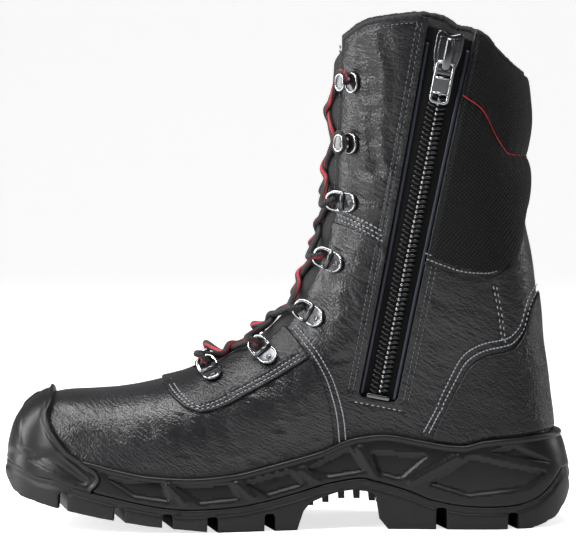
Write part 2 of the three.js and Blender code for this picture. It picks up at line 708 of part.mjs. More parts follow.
// Recesses and ribs on the midsole's side, corners as shares of the boot's length and the sole's height
const pockets = [
  [[0.186, 0.590], [0.231, 0.404], [0.294, 0.350], [0.282, 0.546]],
  [[0.305, 0.514], [0.346, 0.328], [0.416, 0.362], [0.401, 0.536]],
  [[0.427, 0.528], [0.464, 0.398], [0.525, 0.498], [0.506, 0.650]],
  [[0.537, 0.670], [0.569, 0.578], [0.633, 0.640], [0.608, 0.886]],
  [[0.648, 0.840], [0.661, 0.614], [0.697, 0.552], [0.744, 0.800]],
  [[0.747, 0.508], [0.816, 0.378], [0.922, 0.450], [0.955, 0.606], [0.820, 0.800]],
  [[0.855, 0.844], [0.963, 0.710], [0.898, 0.906]],
];
const ribs = [
  [[0.284, 0.546], [0.319, 0.306], [0.326, 0.330], [0.295, 0.560]],
  [[0.403, 0.556], [0.436, 0.350], [0.444, 0.368], [0.414, 0.556]],
  [[0.516, 0.660], [0.547, 0.516], [0.556, 0.540], [0.529, 0.690]],
  [[0.618, 0.900], [0.653, 0.532], [0.662, 0.550], [0.633, 0.890]],
  [[0.708, 0.512], [0.792, 0.820], [0.802, 0.800], [0.722, 0.512]],
];

function makeMidsole(outer, core) {
  const toeEnd = capPoint.slice(2).map(([x, z]) => [x + gap, z]);
  const above = splitLine.filter(([x]) => x > toeEnd.at(-1)[0]).map(([x, z]) => [x, z + gap]);
  let midsole = outer.intersect(sidePrism([
    ...above,
    [1.05 * bootLength, 1.5 * soleHeight],
    [toeEnd[0][0], 1.5 * soleHeight],
    ...toeEnd,
  ]));
  for (const pocket of pockets) {
    midsole = midsole.subtract(sidePrism(pocket.map(inSole)).subtract(core));
  }
  const raised = soleForm(ribHeight);
  for (const rib of ribs) midsole = midsole.add(raised.intersect(sidePrism(rib.map(inSole))));
  return midsole.subtract(cup);
}

// Patch under the lowest lace loops, and the stiffener around the heel
const stayOutline = [[0.271, 0.330], [0.276, 0.298], [0.284, 0.269], [0.297, 0.253], [0.319, 0.236],
  [0.340, 0.228], [0.355, 0.228], [0.390, 0.240], [0.451, 0.273], [0.504, 0.306], [0.538, 0.331],
  [0.521, 0.360], [0.495, 0.391], [0.480, 0.480]].map(inLength);
const counterStart = 0.753;
const counterOutline = [[0.776, 0.231], [0.797, 0.276], [0.815, 0.311], [0.832, 0.327],
  [0.853, 0.337], [0.881, 0.341], [0.895, 0.349], [0.911, 0.374], [0.920, 0.410], [0.928, 0.441],
  [0.945, 0.452], [1.000, 0.460]].map(inLength);

function makeLaceStay() {
  const throat = ridgeBand(throatStart - 0.004, throatEnd, throatHalf + 0.5, bandIn, bandOut + 4, 16);
  return shell(vampStep + gap, vampStep + gap + stayThickness)
    .intersect(sidePrism(stayOutline)).subtract(throat);
}

function makeCounter() {
  const lip = edge(feather, counterStart * bootLength, 1.02 * bootLength, 8, 3 * gap);
  return shell(quarterStep + gap, quarterStep + gap + counterThickness)
    .intersect(sidePrism([...lip, ...[...counterOutline].reverse()]));
}

// Points and directions on the form's side
function sidePoint(x, z, side) {
  return new THREE.Vector3(x, middle(x, z) + side * halfWidth(x, z), z);
}

function sideNormal(x, z, side) {
  const step = 0.5;
  const slopeX = (sidePoint(x + step, z, side).y - sidePoint(x - step, z, side).y) / (2 * step);
  const slopeZ = (sidePoint(x, z + step, side).y - sidePoint(x, z - step, side).y) / (2 * step);
  return new THREE.Vector3(-side * slopeX, side, -side * slopeZ).normalize();
}

const padLift = 2.4;          // the pad starts above the quarter's edge
const padUpCount = 4;

function padPoint(around, cushion, up, lifted) {
  const reach = Math.abs(around);
  const [low, high] = cushion === 0 ? [padLow, padCrease] : [padCrease, padTop];
  const z = lerp(low(reach) + (cushion === 0 ? padLift : 0), high(reach), up);
  const x = padX(around, z);
  const side = around < 0 ? -1 : 1;
  const fullness = 1 - 0.75 * smoothstep(0.25, 1, reach);
  const crown = Math.sin(Math.PI * up) ** 0.6 * fullness;
  const thickness = lifted ? lerp(padEdge, padThickness, crown) : padSeat;
  const normal = reach < 0.01 ? new THREE.Vector3(1, 0, 0) : sideNormal(x, z, side);
  return sidePoint(x, z, side).addScaledVector(normal, thickness);
}

function makePad() {
  const points = [];
  const rows = [];
  const ups = Array.from({ length: 2 * padUpCount + 1 }, (unused, i) => i / padUpCount);
  for (const lifted of [true, false]) {
    for (const up of ups) {
      const cushion = up > 1 ? 1 : 0;
      const row = [];
      for (let j = -padAroundCount; j <= padAroundCount; j += 1) {
        row.push(points.length);
        points.push(padPoint(j / padAroundCount, cushion, up - cushion, lifted));
      }
      rows.push(row);
    }
  }
  const faces = [];
  const width = 2 * padAroundCount;
  const height = ups.length;
  for (let i = 0; i < height - 1; i += 1) {
    for (let j = 0; j < width; j += 1) {
      const [a, b, c, d] = [rows[i][j], rows[i][j + 1], rows[i + 1][j + 1], rows[i + 1][j]];
      const [e, f, g, h] = [a, b, c, d].map((n) => n + rows[height][0]);
      faces.push([a, b, c], [a, c, d], [e, g, f], [e, h, g]);
    }
  }
  const inner = rows[height][0];
  const loop = [
    ...rows[0].slice(0, width),
    ...rows.slice(0, height - 1).map((row) => row[width]),
    ...[...rows[height - 1]].reverse().slice(0, width),
    ...rows.slice(1, height).reverse().map((row) => row[0]),
  ];
  loop.forEach((a, i) => {
    const b = loop[(i + 1) % loop.length];
    faces.push([a, a + inner, b + inner], [a, b + inner, b]);
  });
  return solid(geometryOf(points, faces));
}

// Zip: tape under the leather, coil chain, stop, slider and pull
const sliderUp = zipLength - 15;
const sliderLow = sliderUp - sliderLength / 2;
const stopFrom = 0.6;
const stopLength = 2.6;

function flatBand(from, to, half) {
  return [zipPoint(from, half), zipPoint(to, half), zipPoint(to, -half), zipPoint(from, -half)]
    .map((point) => point.toArray());
}

function makeTape() {
  const top = -wall - gap;
  return shell(top - tapeThickness, top)
    .intersect(innerSide(zipBand(-tapeMargin, zipLength + 20, tapeMargin, 4))).intersect(upperSide);
}

function makeChain() {
  const outline = flatBand(stopFrom + stopLength + gap, sliderLow - gap, zipWidth / 2);
  return shell(-wall, chainHeight - wall).intersect(innerSide(outline));
}

function makeStop() {
  const outline = flatBand(stopFrom, stopFrom + stopLength, zipWidth / 2 + 1);
  return shell(-wall, chainHeight + 2 * gap - wall).intersect(innerSide(outline));
}

// A frame on the boot: X across, Y along a direction of the side view, Z out of the surface
function surfaceFrame(x, z, side, direction, lift) {
  const step = 1;
  const normal = sideNormal(x, z, side);
  const ahead = sidePoint(x + direction.x * step, z + direction.y * step, side);
  const behind = sidePoint(x - direction.x * step, z - direction.y * step, side);
  const along = ahead.sub(behind).normalize();
  const across = along.clone().cross(normal).normalize();
  const origin = sidePoint(x, z, side).addScaledVector(normal, lift);
  return new THREE.Matrix4().makeBasis(across, along, normal).setPosition(origin);
}

function placed(shape, matrix) {
  return shape.transform(matrix.elements);
}

// A plate with round corners, centred, from one height to another
function plate(width, length, corner, from, to, x = 0, y = 0) {
  const shape = new THREE.Shape();
  const [w, l] = [width / 2, length / 2];
  shape.moveTo(-w + corner, -l);
  shape.lineTo(w - corner, -l);
  shape.quadraticCurveTo(w, -l, w, -l + corner);
  shape.lineTo(w, l - corner);
  shape.quadraticCurveTo(w, l, w - corner, l);
  shape.lineTo(-w + corner, l);
  shape.quadraticCurveTo(-w, l, -w, l - corner);
  shape.lineTo(-w, -l + corner);
  shape.quadraticCurveTo(-w, -l, -w + corner, -l);
  const geometry = new THREE.ExtrudeGeometry(shape, {
    depth: to - from,
    bevelEnabled: false,
    curveSegments: 1,
  });
  geometry.translate(x, y, from);
  return solid(geometry);
}

// A round rod across the frame
function rod(radius, length) {
  const geometry = new THREE.CylinderGeometry(radius, radius, length, 8);
  geometry.rotateZ(Math.PI / 2);
  return solid(geometry);
}

// A round cord with one section at each point of its route
function cordAlong(route, diameter, sides) {
  const points = [];
  const last = route.length - 1;
  let across = new THREE.Vector3(0.3, 0.5, 0.8);
  route.forEach((point, i) => {
    const tangent = route[Math.min(last, i + 1)].clone().sub(route[Math.max(0, i - 1)]).normalize();
    across = across.clone().addScaledVector(tangent, -across.dot(tangent)).normalize();
    const other = tangent.clone().cross(across);
    for (let k = 0; k < sides; k += 1) {
      const angle = 2 * Math.PI * k / sides;
      points.push(point.clone().addScaledVector(across, Math.cos(angle) * diameter / 2)
        .addScaledVector(other, Math.sin(angle) * diameter / 2));
    }
  });
  const faces = [];
  for (let i = 0; i < last; i += 1) {
    for (let k = 0; k < sides; k += 1) {
      const [a, b] = [i * sides + k, i * sides + (k + 1) % sides];
      faces.push([a, b, b + sides], [a, b + sides, a + sides]);
    }
  }
  for (let k = 1; k < sides - 1; k += 1) {
    faces.push([0, k + 1, k], [last * sides, last * sides + k, last * sides + k + 1]);
  }
  return solid(geometryOf(points, faces));
}

// Sizes of the slider, in its own frame: Y runs up the zip and Z out of the boot
const sliderThickness = 4.4;
const bridgeWidth = 4.4;
const bridgeLength = 17;
const bridgeHeight = 4.6;
const bridgeWall = 2.4;
const pivotRadius = 1.1;
const pullThickness = 2;
const sliderBase = gap - wall;
const sliderFace = sliderBase + sliderThickness;
const pivotUp = -bridgeLength / 2 + bridgeWall + pivotRadius + gap;
const pivotOut = sliderFace + pivotRadius + gap;
const sliderMatrix = (() => {
  const at = zipPoint(sliderUp, 0);
  return surfaceFrame(at.x, at.y, -1, zipUp, 0);
})();

function makeSlider() {
  const body = plate(sliderWidth, sliderLength * 0.62, 3, sliderBase, sliderFace, 0, sliderLength * 0.19);
  const nose = plate(sliderWidth - 3, sliderLength * 0.6, 2, sliderBase, sliderFace, 0, -sliderLength * 0.2);
  const bridge = plate(bridgeLength, bridgeHeight + 1, 2, -bridgeWidth / 2, bridgeWidth / 2);
  const hole = plate(bridgeLength - 2 * bridgeWall, 2 * (pivotRadius + gap), 0.6, -bridgeWidth, bridgeWidth);
  const upright = new THREE.Matrix4().makeBasis(
    new THREE.Vector3(0, 1, 0),
    new THREE.Vector3(0, 0, 1),
    new THREE.Vector3(1, 0, 0),
  );
  const bridgeAt = upright.clone().setPosition(0, 0, sliderFace + bridgeHeight / 2 - 0.5);
  const holeAt = upright.clone().setPosition(0, 0, pivotOut);
  const shape = body.add(nose).add(placed(bridge, bridgeAt)).subtract(placed(hole, holeAt));
  return placed(shape, sliderMatrix);
}

// The pull hangs from a bar through the bridge, in a frame whose origin is on that bar
const pullMatrix = sliderMatrix.clone().multiply(new THREE.Matrix4().makeTranslation(0, pivotUp, pivotOut));

function makePull() {
  const rail = bridgeWidth / 2 + 2 * gap;
  const blank = plate(pullWidth, pullLength, 1.4, -pullThickness / 2, pullThickness / 2, 0, -pullLength / 2);
  const window = plate(2 * rail, 11, 0.8, -pullThickness, pullThickness, 0, -3.5);
  const eye = plate(pullWidth - 5, 5, 1.2, -pullThickness, pullThickness, 0, 4.4 - pullLength);
  const bar = rod(pivotRadius, pullWidth - 2);
  return placed(blank.subtract(window).subtract(eye).add(bar), pullMatrix);
}

// Lace hardware, from the toe upwards, and what each sits on
const stayTop = vampStep + gap + stayThickness;
const stationRows = table(["share", "kind", "under"], [
  [0.3845, "loop", stayTop], [0.4590, "loop", stayTop], [0.5355, "loop", quarterStep],
  [0.6115, "loop", quarterStep], [0.6895, "loop", 0], [0.7705, "hook", 0], [0.8540, "hook", 0],
]);
const seat = 2 * gap;         // flat plates stand a little off the round leather

function ridgeTangent(share) {
  return ridgeAt(share + 0.004).sub(ridgeAt(share - 0.004)).normalize();
}

// The place on the form at a distance from the ridge, found along the ridge's inward normal
function facingPlace(share, away) {
  const start = ridgeAt(share);
  const tangent = ridgeTangent(share);
  let low = 0;
  let high = 40;
  for (let i = 0; i < 30; i += 1) {
    const depth = (low + high) / 2;
    const wide = halfWidth(start.x + tangent.y * depth, start.y - tangent.x * depth);
    if (wide < away) low = depth;
    else high = depth;
  }
  return new THREE.Vector2(start.x + tangent.y * low, start.y - tangent.x * low);
}

// A station's frame: X towards the throat, Y up along the facing, Z out of the leather
function stationMatrix(row, side) {
  const at = facingPlace(row.share, throatHalf + loopInset);
  const frame = surfaceFrame(at.x, at.y, side, ridgeTangent(row.share), row.under + seat);
  return side < 0 ? frame.multiply(new THREE.Matrix4().makeRotationZ(Math.PI)) : frame;
}

const plateThickness = 1.4;
const hingeX = 1.6;
const loopReach = 9.2;
const loopRise = 5.2;

function makeLoop() {
  const low = hingeX - 10;
  const profile = [[low, 0], [hingeX + 0.8, 0], [hingeX + 1.4, 1.5], [hingeX + 0.6, 2.9], [hingeX - 0.8, 2.9],
    [hingeX - 1.6, plateThickness], [low, plateThickness]];
  const base = sidePrism(profile, -5.4, 5.4);
  const half = [[0, -4.9, 1.7], [0.5, -4.9, 3.2], [0.84, -3.9, 4.6], [1, -1.6, loopRise]];
  const bend = [...half, ...[...half].reverse().map(([reach, y, z]) => [reach, -y, z])];
  const wire = cordAlong(
    bend.map(([reach, y, z]) => new THREE.Vector3(lerp(hingeX, loopReach, reach), y, z)), wireDiameter, 6);
  return base.add(wire);
}

const clawHeight = 6.3;

function makeHook() {
  const base = plate(12, 9, 2, 0, plateThickness, -2, 0);
  const neck = plate(2.2, 4, 0.5, 0.5, clawHeight + 0.5, 3, 0);
  const claw = plate(9, 6, 1.8, clawHeight, clawHeight + plateThickness, -0.4, 0);
  return base.add(neck).add(claw);
}

// The lace zigzags over the tongue. In a station's frame it turns round the loop's wire or the hook's neck
const laceRadius = laceDiameter / 2;
const loopRadius = wireDiameter / 2 + laceRadius + 2 * gap;
const neckRadius = 2.2 + laceRadius + 2 * gap;
const turnAngles = [-105, -52, 0, 52, 105].map((degrees) => degrees * Math.PI / 180);
const loopTurn = turnAngles.map((angle) => [
  loopReach - loopRadius * Math.cos(angle), 1.2 * angle, loopRise + loopRadius * Math.sin(angle),
]);
const hookTurn = turnAngles.map((angle) => [
  3 - neckRadius * Math.cos(angle), neckRadius * Math.sin(angle), clawHeight - laceRadius - gap,
]);
const laceLift = 3.4;
const laceSides = 6;

function facingPoint(share, across, lift) {
  const side = across < 0 ? -1 : 1;
  const place = facingPlace(share, Math.abs(across));
  const tangent = ridgeTangent(share);
  const normal = Math.abs(across) < 1 ? new THREE.Vector3(-tangent.y, 0, tangent.x)
    : sideNormal(place.x, place.y, side);
  return sidePoint(place.x, place.y, side).addScaledVector(normal, lift);
}

function stationTurn(row, side) {
  const matrix = stationMatrix(row, side);
  const turn = row.kind === "loop" ? loopTurn : hookTurn;
  return turn.map(([x, y, z]) => new THREE.Vector3(x, y, z).applyMatrix4(matrix));
}

function makeLace() {
  const strands = [];
  for (const first of [-1, 1]) {
    const route = [];
    stationRows.forEach((row, i) => {
      const side = i % 2 === 0 ? first : -first;
      const turn = stationTurn(row, side);
      if (i === 0) turn.splice(0, 2);
      if (i === stationRows.length - 1) turn.splice(3, 2);
      if (i > 0) {
        const before = stationRows[i - 1];
        const ground = Math.max(before.under, row.under);
        for (const across of [-6, 0, 6]) {
          const share = lerp(before.share, row.share, 0.5 + across / 32);
          route.push(facingPoint(share, across * side, laceLift + 0.5 * ground));
        }
      }
      route.push(...turn);
    });
    strands.push(cordAlong(route, laceDiameter, laceSides));
  }
  const start = stationRows[0];
  const ends = [-1, 1].map((side) => stationTurn(start, side).slice(0, 3));
  const bar = [-9, -3, 3, 9].map((across) => facingPoint(start.share - 0.012, across, laceLift + 2));
  strands.push(cordAlong([...ends[0].reverse(), ...bar, ...ends[1]], laceDiameter, laceSides));
  return strands.reduce((joined, strand) => joined.add(strand));
}

// Finishes, one for each sort of material
function finish(color, roughness, metalness) {
  return new THREE.MeshStandardMaterial({ color, roughness, metalness });
}

const leather = finish(0x1d1d1f, 0.45, 0);
const rubber = finish(0x1c1d1f, 0.6, 0);
const cushion = finish(0x131315, 0.85, 0);
const textile = finish(0x161617, 0.9, 0);
const metal = finish(0x55565a, 0.35, 1);
const cordage = finish(0x3a1518, 0.8, 0);

const boot = new THREE.Group();

function addPiece(name, shape, material) {
  const mesh = shape.getMesh();
  const geometry = new THREE.BufferGeometry();
  geometry.setAttribute("position", new THREE.BufferAttribute(new Float32Array(mesh.vertProperties), 3));
  geometry.setIndex(Array.from(mesh.triVerts));
  geometry.computeVertexNormals();
  const piece = new THREE.Mesh(geometry, material);
  piece.name = name;
  boot.add(piece);
}

const soleOuter = soleForm(0);
addPiece("outsole", makeOutsole(soleOuter), rubber);
addPiece("midsole", makeMidsole(soleOuter, soleForm(-pocketDepth)), rubber);
addPiece("toe_cap", makeToeCap(soleOuter), rubber);
addPiece("upper", makeUpper(), leather);
addPiece("insole", makeInsole(), textile);
addPiece("tongue", makeTongue(), cushion);
addPiece("lace_stay", makeLaceStay(), leather);
addPiece("heel_counter", makeCounter(), leather);
addPiece("collar_pad", makePad(), cushion);
addPiece("zip_tape", makeTape(), textile);
addPiece("zip_chain", makeChain(), cushion);
addPiece("zip_stop", makeStop(), cushion);
addPiece("zip_slider", makeSlider(), metal);
addPiece("zip_pull", makePull(), metal);
addPiece("lace", makeLace(), cordage);
stationRows.forEach((row, i) => {
  for (const [side, label] of [[-1, "inner"], [1, "outer"]]) {
    const shape = row.kind === "loop" ? makeLoop() : makeHook();
    addPiece(`lace_${row.kind}_${label}_${i + 1}`, placed(shape, stationMatrix(row, side)), metal);
  }
});

// The origin is at the middle of the boot's box, on the floor
const box = new THREE.Box3().setFromObject(boot);
boot.position.set(-(box.min.x + box.max.x) / 2, -(box.min.y + box.max.y) / 2, -box.min.z);
boot.updateMatrixWorld(true);

export default boot;
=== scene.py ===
# %% [markdown]
# # A high safety boot with a side zip
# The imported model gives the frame: where the sole, the shaft, the zip and the lace hardware are. This
# script dresses it. The leather panels, the padded collar, the sole's side and the laces are made again
# with many more points and laid over the same form, so each stays where its solid is.

# %% Load the frame and measure it
import math
import bpy
import bmesh
import numpy as np
from mathutils import Matrix, Vector, geometry, kdtree


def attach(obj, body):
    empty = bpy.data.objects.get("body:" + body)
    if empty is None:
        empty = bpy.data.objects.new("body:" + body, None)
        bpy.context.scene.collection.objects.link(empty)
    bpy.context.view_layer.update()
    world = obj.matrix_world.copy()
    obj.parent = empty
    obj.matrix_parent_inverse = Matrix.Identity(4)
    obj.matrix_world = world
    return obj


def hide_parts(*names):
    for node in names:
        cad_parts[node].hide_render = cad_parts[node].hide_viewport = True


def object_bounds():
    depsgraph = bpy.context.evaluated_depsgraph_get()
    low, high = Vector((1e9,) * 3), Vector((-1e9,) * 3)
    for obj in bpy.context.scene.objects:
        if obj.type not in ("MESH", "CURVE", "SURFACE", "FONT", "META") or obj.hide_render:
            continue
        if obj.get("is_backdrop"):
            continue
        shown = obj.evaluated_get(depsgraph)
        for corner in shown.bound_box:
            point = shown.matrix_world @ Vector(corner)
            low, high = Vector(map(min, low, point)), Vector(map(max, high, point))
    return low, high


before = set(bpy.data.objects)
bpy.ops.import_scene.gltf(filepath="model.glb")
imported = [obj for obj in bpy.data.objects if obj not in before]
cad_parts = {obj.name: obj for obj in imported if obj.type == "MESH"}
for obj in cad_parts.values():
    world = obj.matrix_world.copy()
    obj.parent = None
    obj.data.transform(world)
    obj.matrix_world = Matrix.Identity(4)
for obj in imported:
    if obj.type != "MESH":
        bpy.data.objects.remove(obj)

bpy.context.view_layer.update()
cad_low, cad_high = (list(corner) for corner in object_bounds())
print("solids' box", [round(v, 4) for v in cad_low], [round(v, 4) for v in cad_high])

# %% [markdown]
# The photo was taken from a little above the floor with a long lens, square to the inner side of the
# boot. The camera is made first, because it doesn't depend on anything else. Its distance and lens
# were worked out from the length of the sole in the picture.

# %% Camera
CAMERA_DISTANCE = 2.4
CAMERA_RISE = math.radians(4)
CAMERA_LENS = 272.7
look_at = Vector((-0.0002, -0.0013, 0.1342))
away = Vector((0, -math.cos(CAMERA_RISE), math.sin(CAMERA_RISE)))


def put(name, data):
    """A new object in the scene."""
    made = bpy.data.objects.new(name, data)
    bpy.context.scene.collection.objects.link(made)
    return made


camera = put("camera", bpy.data.cameras.new("camera"))
camera.data.lens = CAMERA_LENS
camera.data.clip_end = 50
camera.location = look_at + away * CAMERA_DISTANCE
camera.rotation_euler = (-away).to_track_quat("-Z", "Y").to_euler()
bpy.context.scene.camera = camera
print("camera at", [round(v, 3) for v in camera.location])

# %% [markdown]
# A boot is made over a last, a smooth foot-shaped form, and every layer follows that form. So the
# script first makes the form as a function. It works in millimetres from the tip of the toe, with x
# to the heel, y to the outer side and z up. The side outline comes from a ridge, which runs over the
# toe, the instep and the front of the shaft, and from a back line. Between them a half width says how
# far the side stands out. Smooth curves run through short tables of sizes.

# %% Sizes and curves of the form
LENGTH, HEIGHT, SOLE, BALL, SHAFT = 310.0, 281.0, 50.0, 100.0, 86.0
ORIGIN = np.array([-155.169, -1.329, 0.0])
GAP = 0.3
VAMP_STEP, QUARTER_STEP = 1.8, 1.0


def smoothstep(low, high, value):
    share = np.clip((np.asarray(value, float) - low) / (high - low), 0, 1)
    return share * share * (3 - 2 * share)


def walk_along(points):
    """How far along a line each of its points is."""
    return np.concatenate([[0], np.cumsum(np.linalg.norm(np.diff(points, axis=0), axis=1))])


def unit(vectors):
    return vectors / np.linalg.norm(vectors, axis=-1, keepdims=True)


def curve(keys, values):
    """A smooth curve through keyed values that never swings past them."""
    keys, values = np.asarray(keys, float), np.asarray(values, float)
    steps = np.diff(keys)
    rises = np.diff(values) / steps
    slopes = np.zeros(len(keys))
    slopes[0], slopes[-1] = rises[0], rises[-1]
    for i in range(1, len(keys) - 1):
        if rises[i - 1] * rises[i] > 0:
            before, after = steps[i] * 2 + steps[i - 1], steps[i] + steps[i - 1] * 2
            slopes[i] = (before + after) / (before / rises[i - 1] + after / rises[i])

    def at(value):
        value = np.clip(np.asarray(value, float), keys[0], keys[-1])
        i = np.clip(np.searchsorted(keys, value, side="right") - 1, 0, len(keys) - 2)
        t = (value - keys[i]) / steps[i]
        return ((2 * t**3 - 3 * t**2 + 1) * values[i] + (t**3 - 2 * t**2 + t) * steps[i] * slopes[i]
                + (3 * t**2 - 2 * t**3) * values[i + 1] + (t**3 - t**2) * steps[i] * slopes[i + 1])

    return at


def columns(rows, key_size, *value_sizes):
    rows = np.array(rows, float)
    return [curve(rows[:, 0] * key_size, rows[:, i + 1] * size) for i, size in enumerate(value_sizes)]


# Ridge: along (share of the length), up (share of the height)
RIDGE = np.array([
    [0.029, 0.06], [0.019, 0.089], [0.016, 0.121], [0.021, 0.158], [0.029, 0.192], [0.04, 0.214],
    [0.055, 0.231], [0.071, 0.243], [0.09, 0.251], [0.116, 0.255], [0.152, 0.257], [0.187, 0.259],
    [0.226, 0.264], [0.252, 0.269], [0.273, 0.274], [0.297, 0.28], [0.323, 0.288], [0.342, 0.297],
    [0.365, 0.308], [0.389, 0.32], [0.429, 0.344], [0.468, 0.377], [0.495, 0.407], [0.51, 0.431],
    [0.526, 0.464], [0.539, 0.495], [0.548, 0.521], [0.559, 0.553], [0.569, 0.605], [0.575, 0.673],
    [0.578, 0.731], [0.581, 0.79], [0.584, 0.847], [0.586, 0.947], [0.588, 1.068]]) * [LENGTH, HEIGHT]
# Back line: up, along
[back_at] = columns([
    [0.06, 0.972], [0.085, 0.972], [0.142, 0.968], [0.185, 0.965], [0.214, 0.962], [0.256, 0.957],
    [0.31, 0.951], [0.363, 0.944], [0.413, 0.941], [0.448, 0.937], [0.52, 0.93], [0.559, 0.923],
    [0.591, 0.917], [0.633, 0.914], [0.712, 0.913], [0.783, 0.914], [0.89, 0.915], [1.068, 0.916],
], HEIGHT, LENGTH)
# Feather edge, the top of the sole, and the board under the foot: along, up (share of the sole)
[feather] = columns([
    [0.0, 0.8], [0.065, 0.82], [0.144, 0.774], [0.198, 0.692], [0.264, 0.616], [0.331, 0.594],
    [0.399, 0.626], [0.465, 0.714], [0.518, 0.794], [0.552, 0.85], [0.618, 1.0], [0.668, 1.034],
    [0.733, 0.974], [0.783, 0.924], [0.806, 0.916], [0.845, 0.97], [0.916, 1.01], [0.968, 1.04],
], LENGTH, SOLE)
[board] = columns([
    [0.0, 0.54], [0.048, 0.49], [0.097, 0.44], [0.194, 0.38], [0.258, 0.36], [0.323, 0.352],
    [0.387, 0.364], [0.452, 0.406], [0.516, 0.472], [0.581, 0.548], [0.645, 0.612], [0.71, 0.64],
    [0.839, 0.652], [1.0, 0.656],
], LENGTH, SOLE)
# Foot: along, half width, middle line
foot_half, foot_middle = columns([
    [0.0, 0.42, -0.08], [0.097, 0.43, -0.05], [0.194, 0.46, -0.028], [0.29, 0.493, -0.005],
    [0.355, 0.5, 0.018], [0.419, 0.478, 0.042], [0.484, 0.438, 0.058], [0.548, 0.395, 0.06],
    [0.613, 0.36, 0.05], [0.677, 0.34, 0.034], [0.742, 0.335, 0.017], [0.806, 0.337, 0.005],
    [0.871, 0.335, -0.002], [1.0, 0.33, 0.0],
], LENGTH, BALL, BALL)
[ridge_middle] = columns([
    [0.0, -0.08], [0.097, -0.052], [0.258, -0.022], [0.419, 0.0], [1.0, 0.0],
], LENGTH, BALL)
[shaft_half] = columns([
    [0.214, 0.39], [0.302, 0.395], [0.391, 0.413], [0.48, 0.43], [0.569, 0.442], [0.676, 0.459],
    [0.783, 0.477], [0.89, 0.492], [1.0, 0.5], [1.085, 0.503],
], HEIGHT, SHAFT)
[roof_depth] = columns([
    [0.0, 0.093], [0.129, 0.107], [0.258, 0.128], [0.355, 0.157], [0.452, 0.2], [0.548, 0.22],
], LENGTH, HEIGHT)
front_round, back_round = columns([
    [0.213, 0.2, 0.129], [0.356, 0.168, 0.142], [0.498, 0.155, 0.155], [0.57, 0.155, 0.161],
], HEIGHT, LENGTH, LENGTH)
TUCK, RIDGE_POWER, BACK_POWER = 5.0, 2.3, 2.2

ridge_along = walk_along(RIDGE)
RIDGE_LENGTH = ridge_along[-1]
ridge_x, ridge_z = curve(ridge_along, RIDGE[:, 0]), curve(ridge_along, RIDGE[:, 1])
ridge_samples = np.stack([f(np.linspace(0, RIDGE_LENGTH, 1601)) for f in (ridge_x, ridge_z)], axis=1)
toe_sample = int(np.argmin(ridge_samples[:, 0]))
print("ridge", round(RIDGE_LENGTH, 1), "mm long")

# %% [markdown]
# With the curves in place, the form is one function: the half width at a place of the side view. Lines
# called chords run from the ridge to the foot or to the back line, so a share along the ridge and a
# place across a chord name each point of the skin. The same point is also named by two lengths, u
# along the ridge and v around the boot, and panels are cut in u and v as leather is cut flat.

# %% The form
FORM_TOP = RIDGE[-1, 1]
HEEL_Z = float(board(0.97 * LENGTH)) - 6
HEEL_X = float(back_at(HEEL_Z))
FLOOR_SHARE = (HEEL_X - RIDGE[0, 0]) / (HEEL_X - RIDGE[0, 0] + FORM_TOP - HEEL_Z)


def shoulder(share, power):
    inside = 1 - np.clip(share, 0, 1)
    return (1 - inside**power) ** (1 / power)


def half_width(x, z):
    top = np.interp(x, ridge_samples[toe_sample:, 0], ridge_samples[toe_sample:, 1])
    top = np.where(x >= ridge_samples[-1, 0], 4 * HEIGHT, top)
    front = np.interp(z, ridge_samples[:, 1], ridge_samples[:, 0])
    below = np.maximum(top - z, 1e-6) / roof_depth(x)
    behind = np.maximum(x - front, 1e-6) / front_round(z)
    ridge_share = 1 / np.hypot(1 / below, 1 / behind)
    back_share = (back_at(z) - x) / back_round(z)
    ankle = smoothstep(0.21 * HEIGHT, 0.41 * HEIGHT, z) * smoothstep(0.35 * LENGTH, 0.53 * LENGTH, x)
    height = np.minimum(1, (z - board(x)) / (feather(x) - board(x)))
    drawn = np.minimum(TUCK * (1 - height) ** 2, 1.7 * TUCK)
    base = foot_half(x) + (shaft_half(z) - foot_half(x)) * ankle - drawn
    return base * shoulder(ridge_share, RIDGE_POWER) * shoulder(back_share, BACK_POWER)


def middle(x, z):
    top = np.interp(x, ridge_samples[toe_sample:, 0], ridge_samples[toe_sample:, 1])
    top = np.where(x >= ridge_samples[-1, 0], 4 * HEIGHT, top)
    low = feather(x)
    share = np.clip((z - low) / (np.minimum(top, 0.4 * HEIGHT) - low), 0, 1)
    share = share * share * (3 - 2 * share)
    return foot_middle(x) + (ridge_middle(x) - foot_middle(x)) * share


def ridge_at(share):
    return ridge_x(share * RIDGE_LENGTH), ridge_z(share * RIDGE_LENGTH)


def chord_foot(share):
    back_z = HEEL_Z + (FORM_TOP - HEEL_Z) * np.clip((share - FLOOR_SHARE) / (1 - FLOOR_SHARE), 0, 1)
    x = RIDGE[0, 0] + (HEEL_X - RIDGE[0, 0]) * np.clip(share / FLOOR_SHARE, 0, 1)
    start = smoothstep(0, 0.06, share)
    low_z = RIDGE[0, 1] + (board(x) - 6 - RIDGE[0, 1]) * start
    past = share >= FLOOR_SHARE
    return np.where(past, back_at(back_z), x), np.where(past, back_z, low_z)


def chord_share(share, reach):
    opened = 1 - np.cos(reach * np.pi / 2)
    closed = (1 - np.cos(reach * np.pi)) / 2
    return opened + (closed - opened) * smoothstep(FLOOR_SHARE - 0.1, FLOOR_SHARE, share)


def form_point(share, across):
    share, across = np.broadcast_arrays(np.asarray(share, float), np.asarray(across, float))
    (ax, az), (bx, bz) = ridge_at(share), chord_foot(share)
    along = chord_share(share, np.abs(across))
    x, z = ax + (bx - ax) * along, az + (bz - az) * along
    return np.stack([x, middle(x, z) + np.sign(across) * half_width(x, z), z], axis=-1)


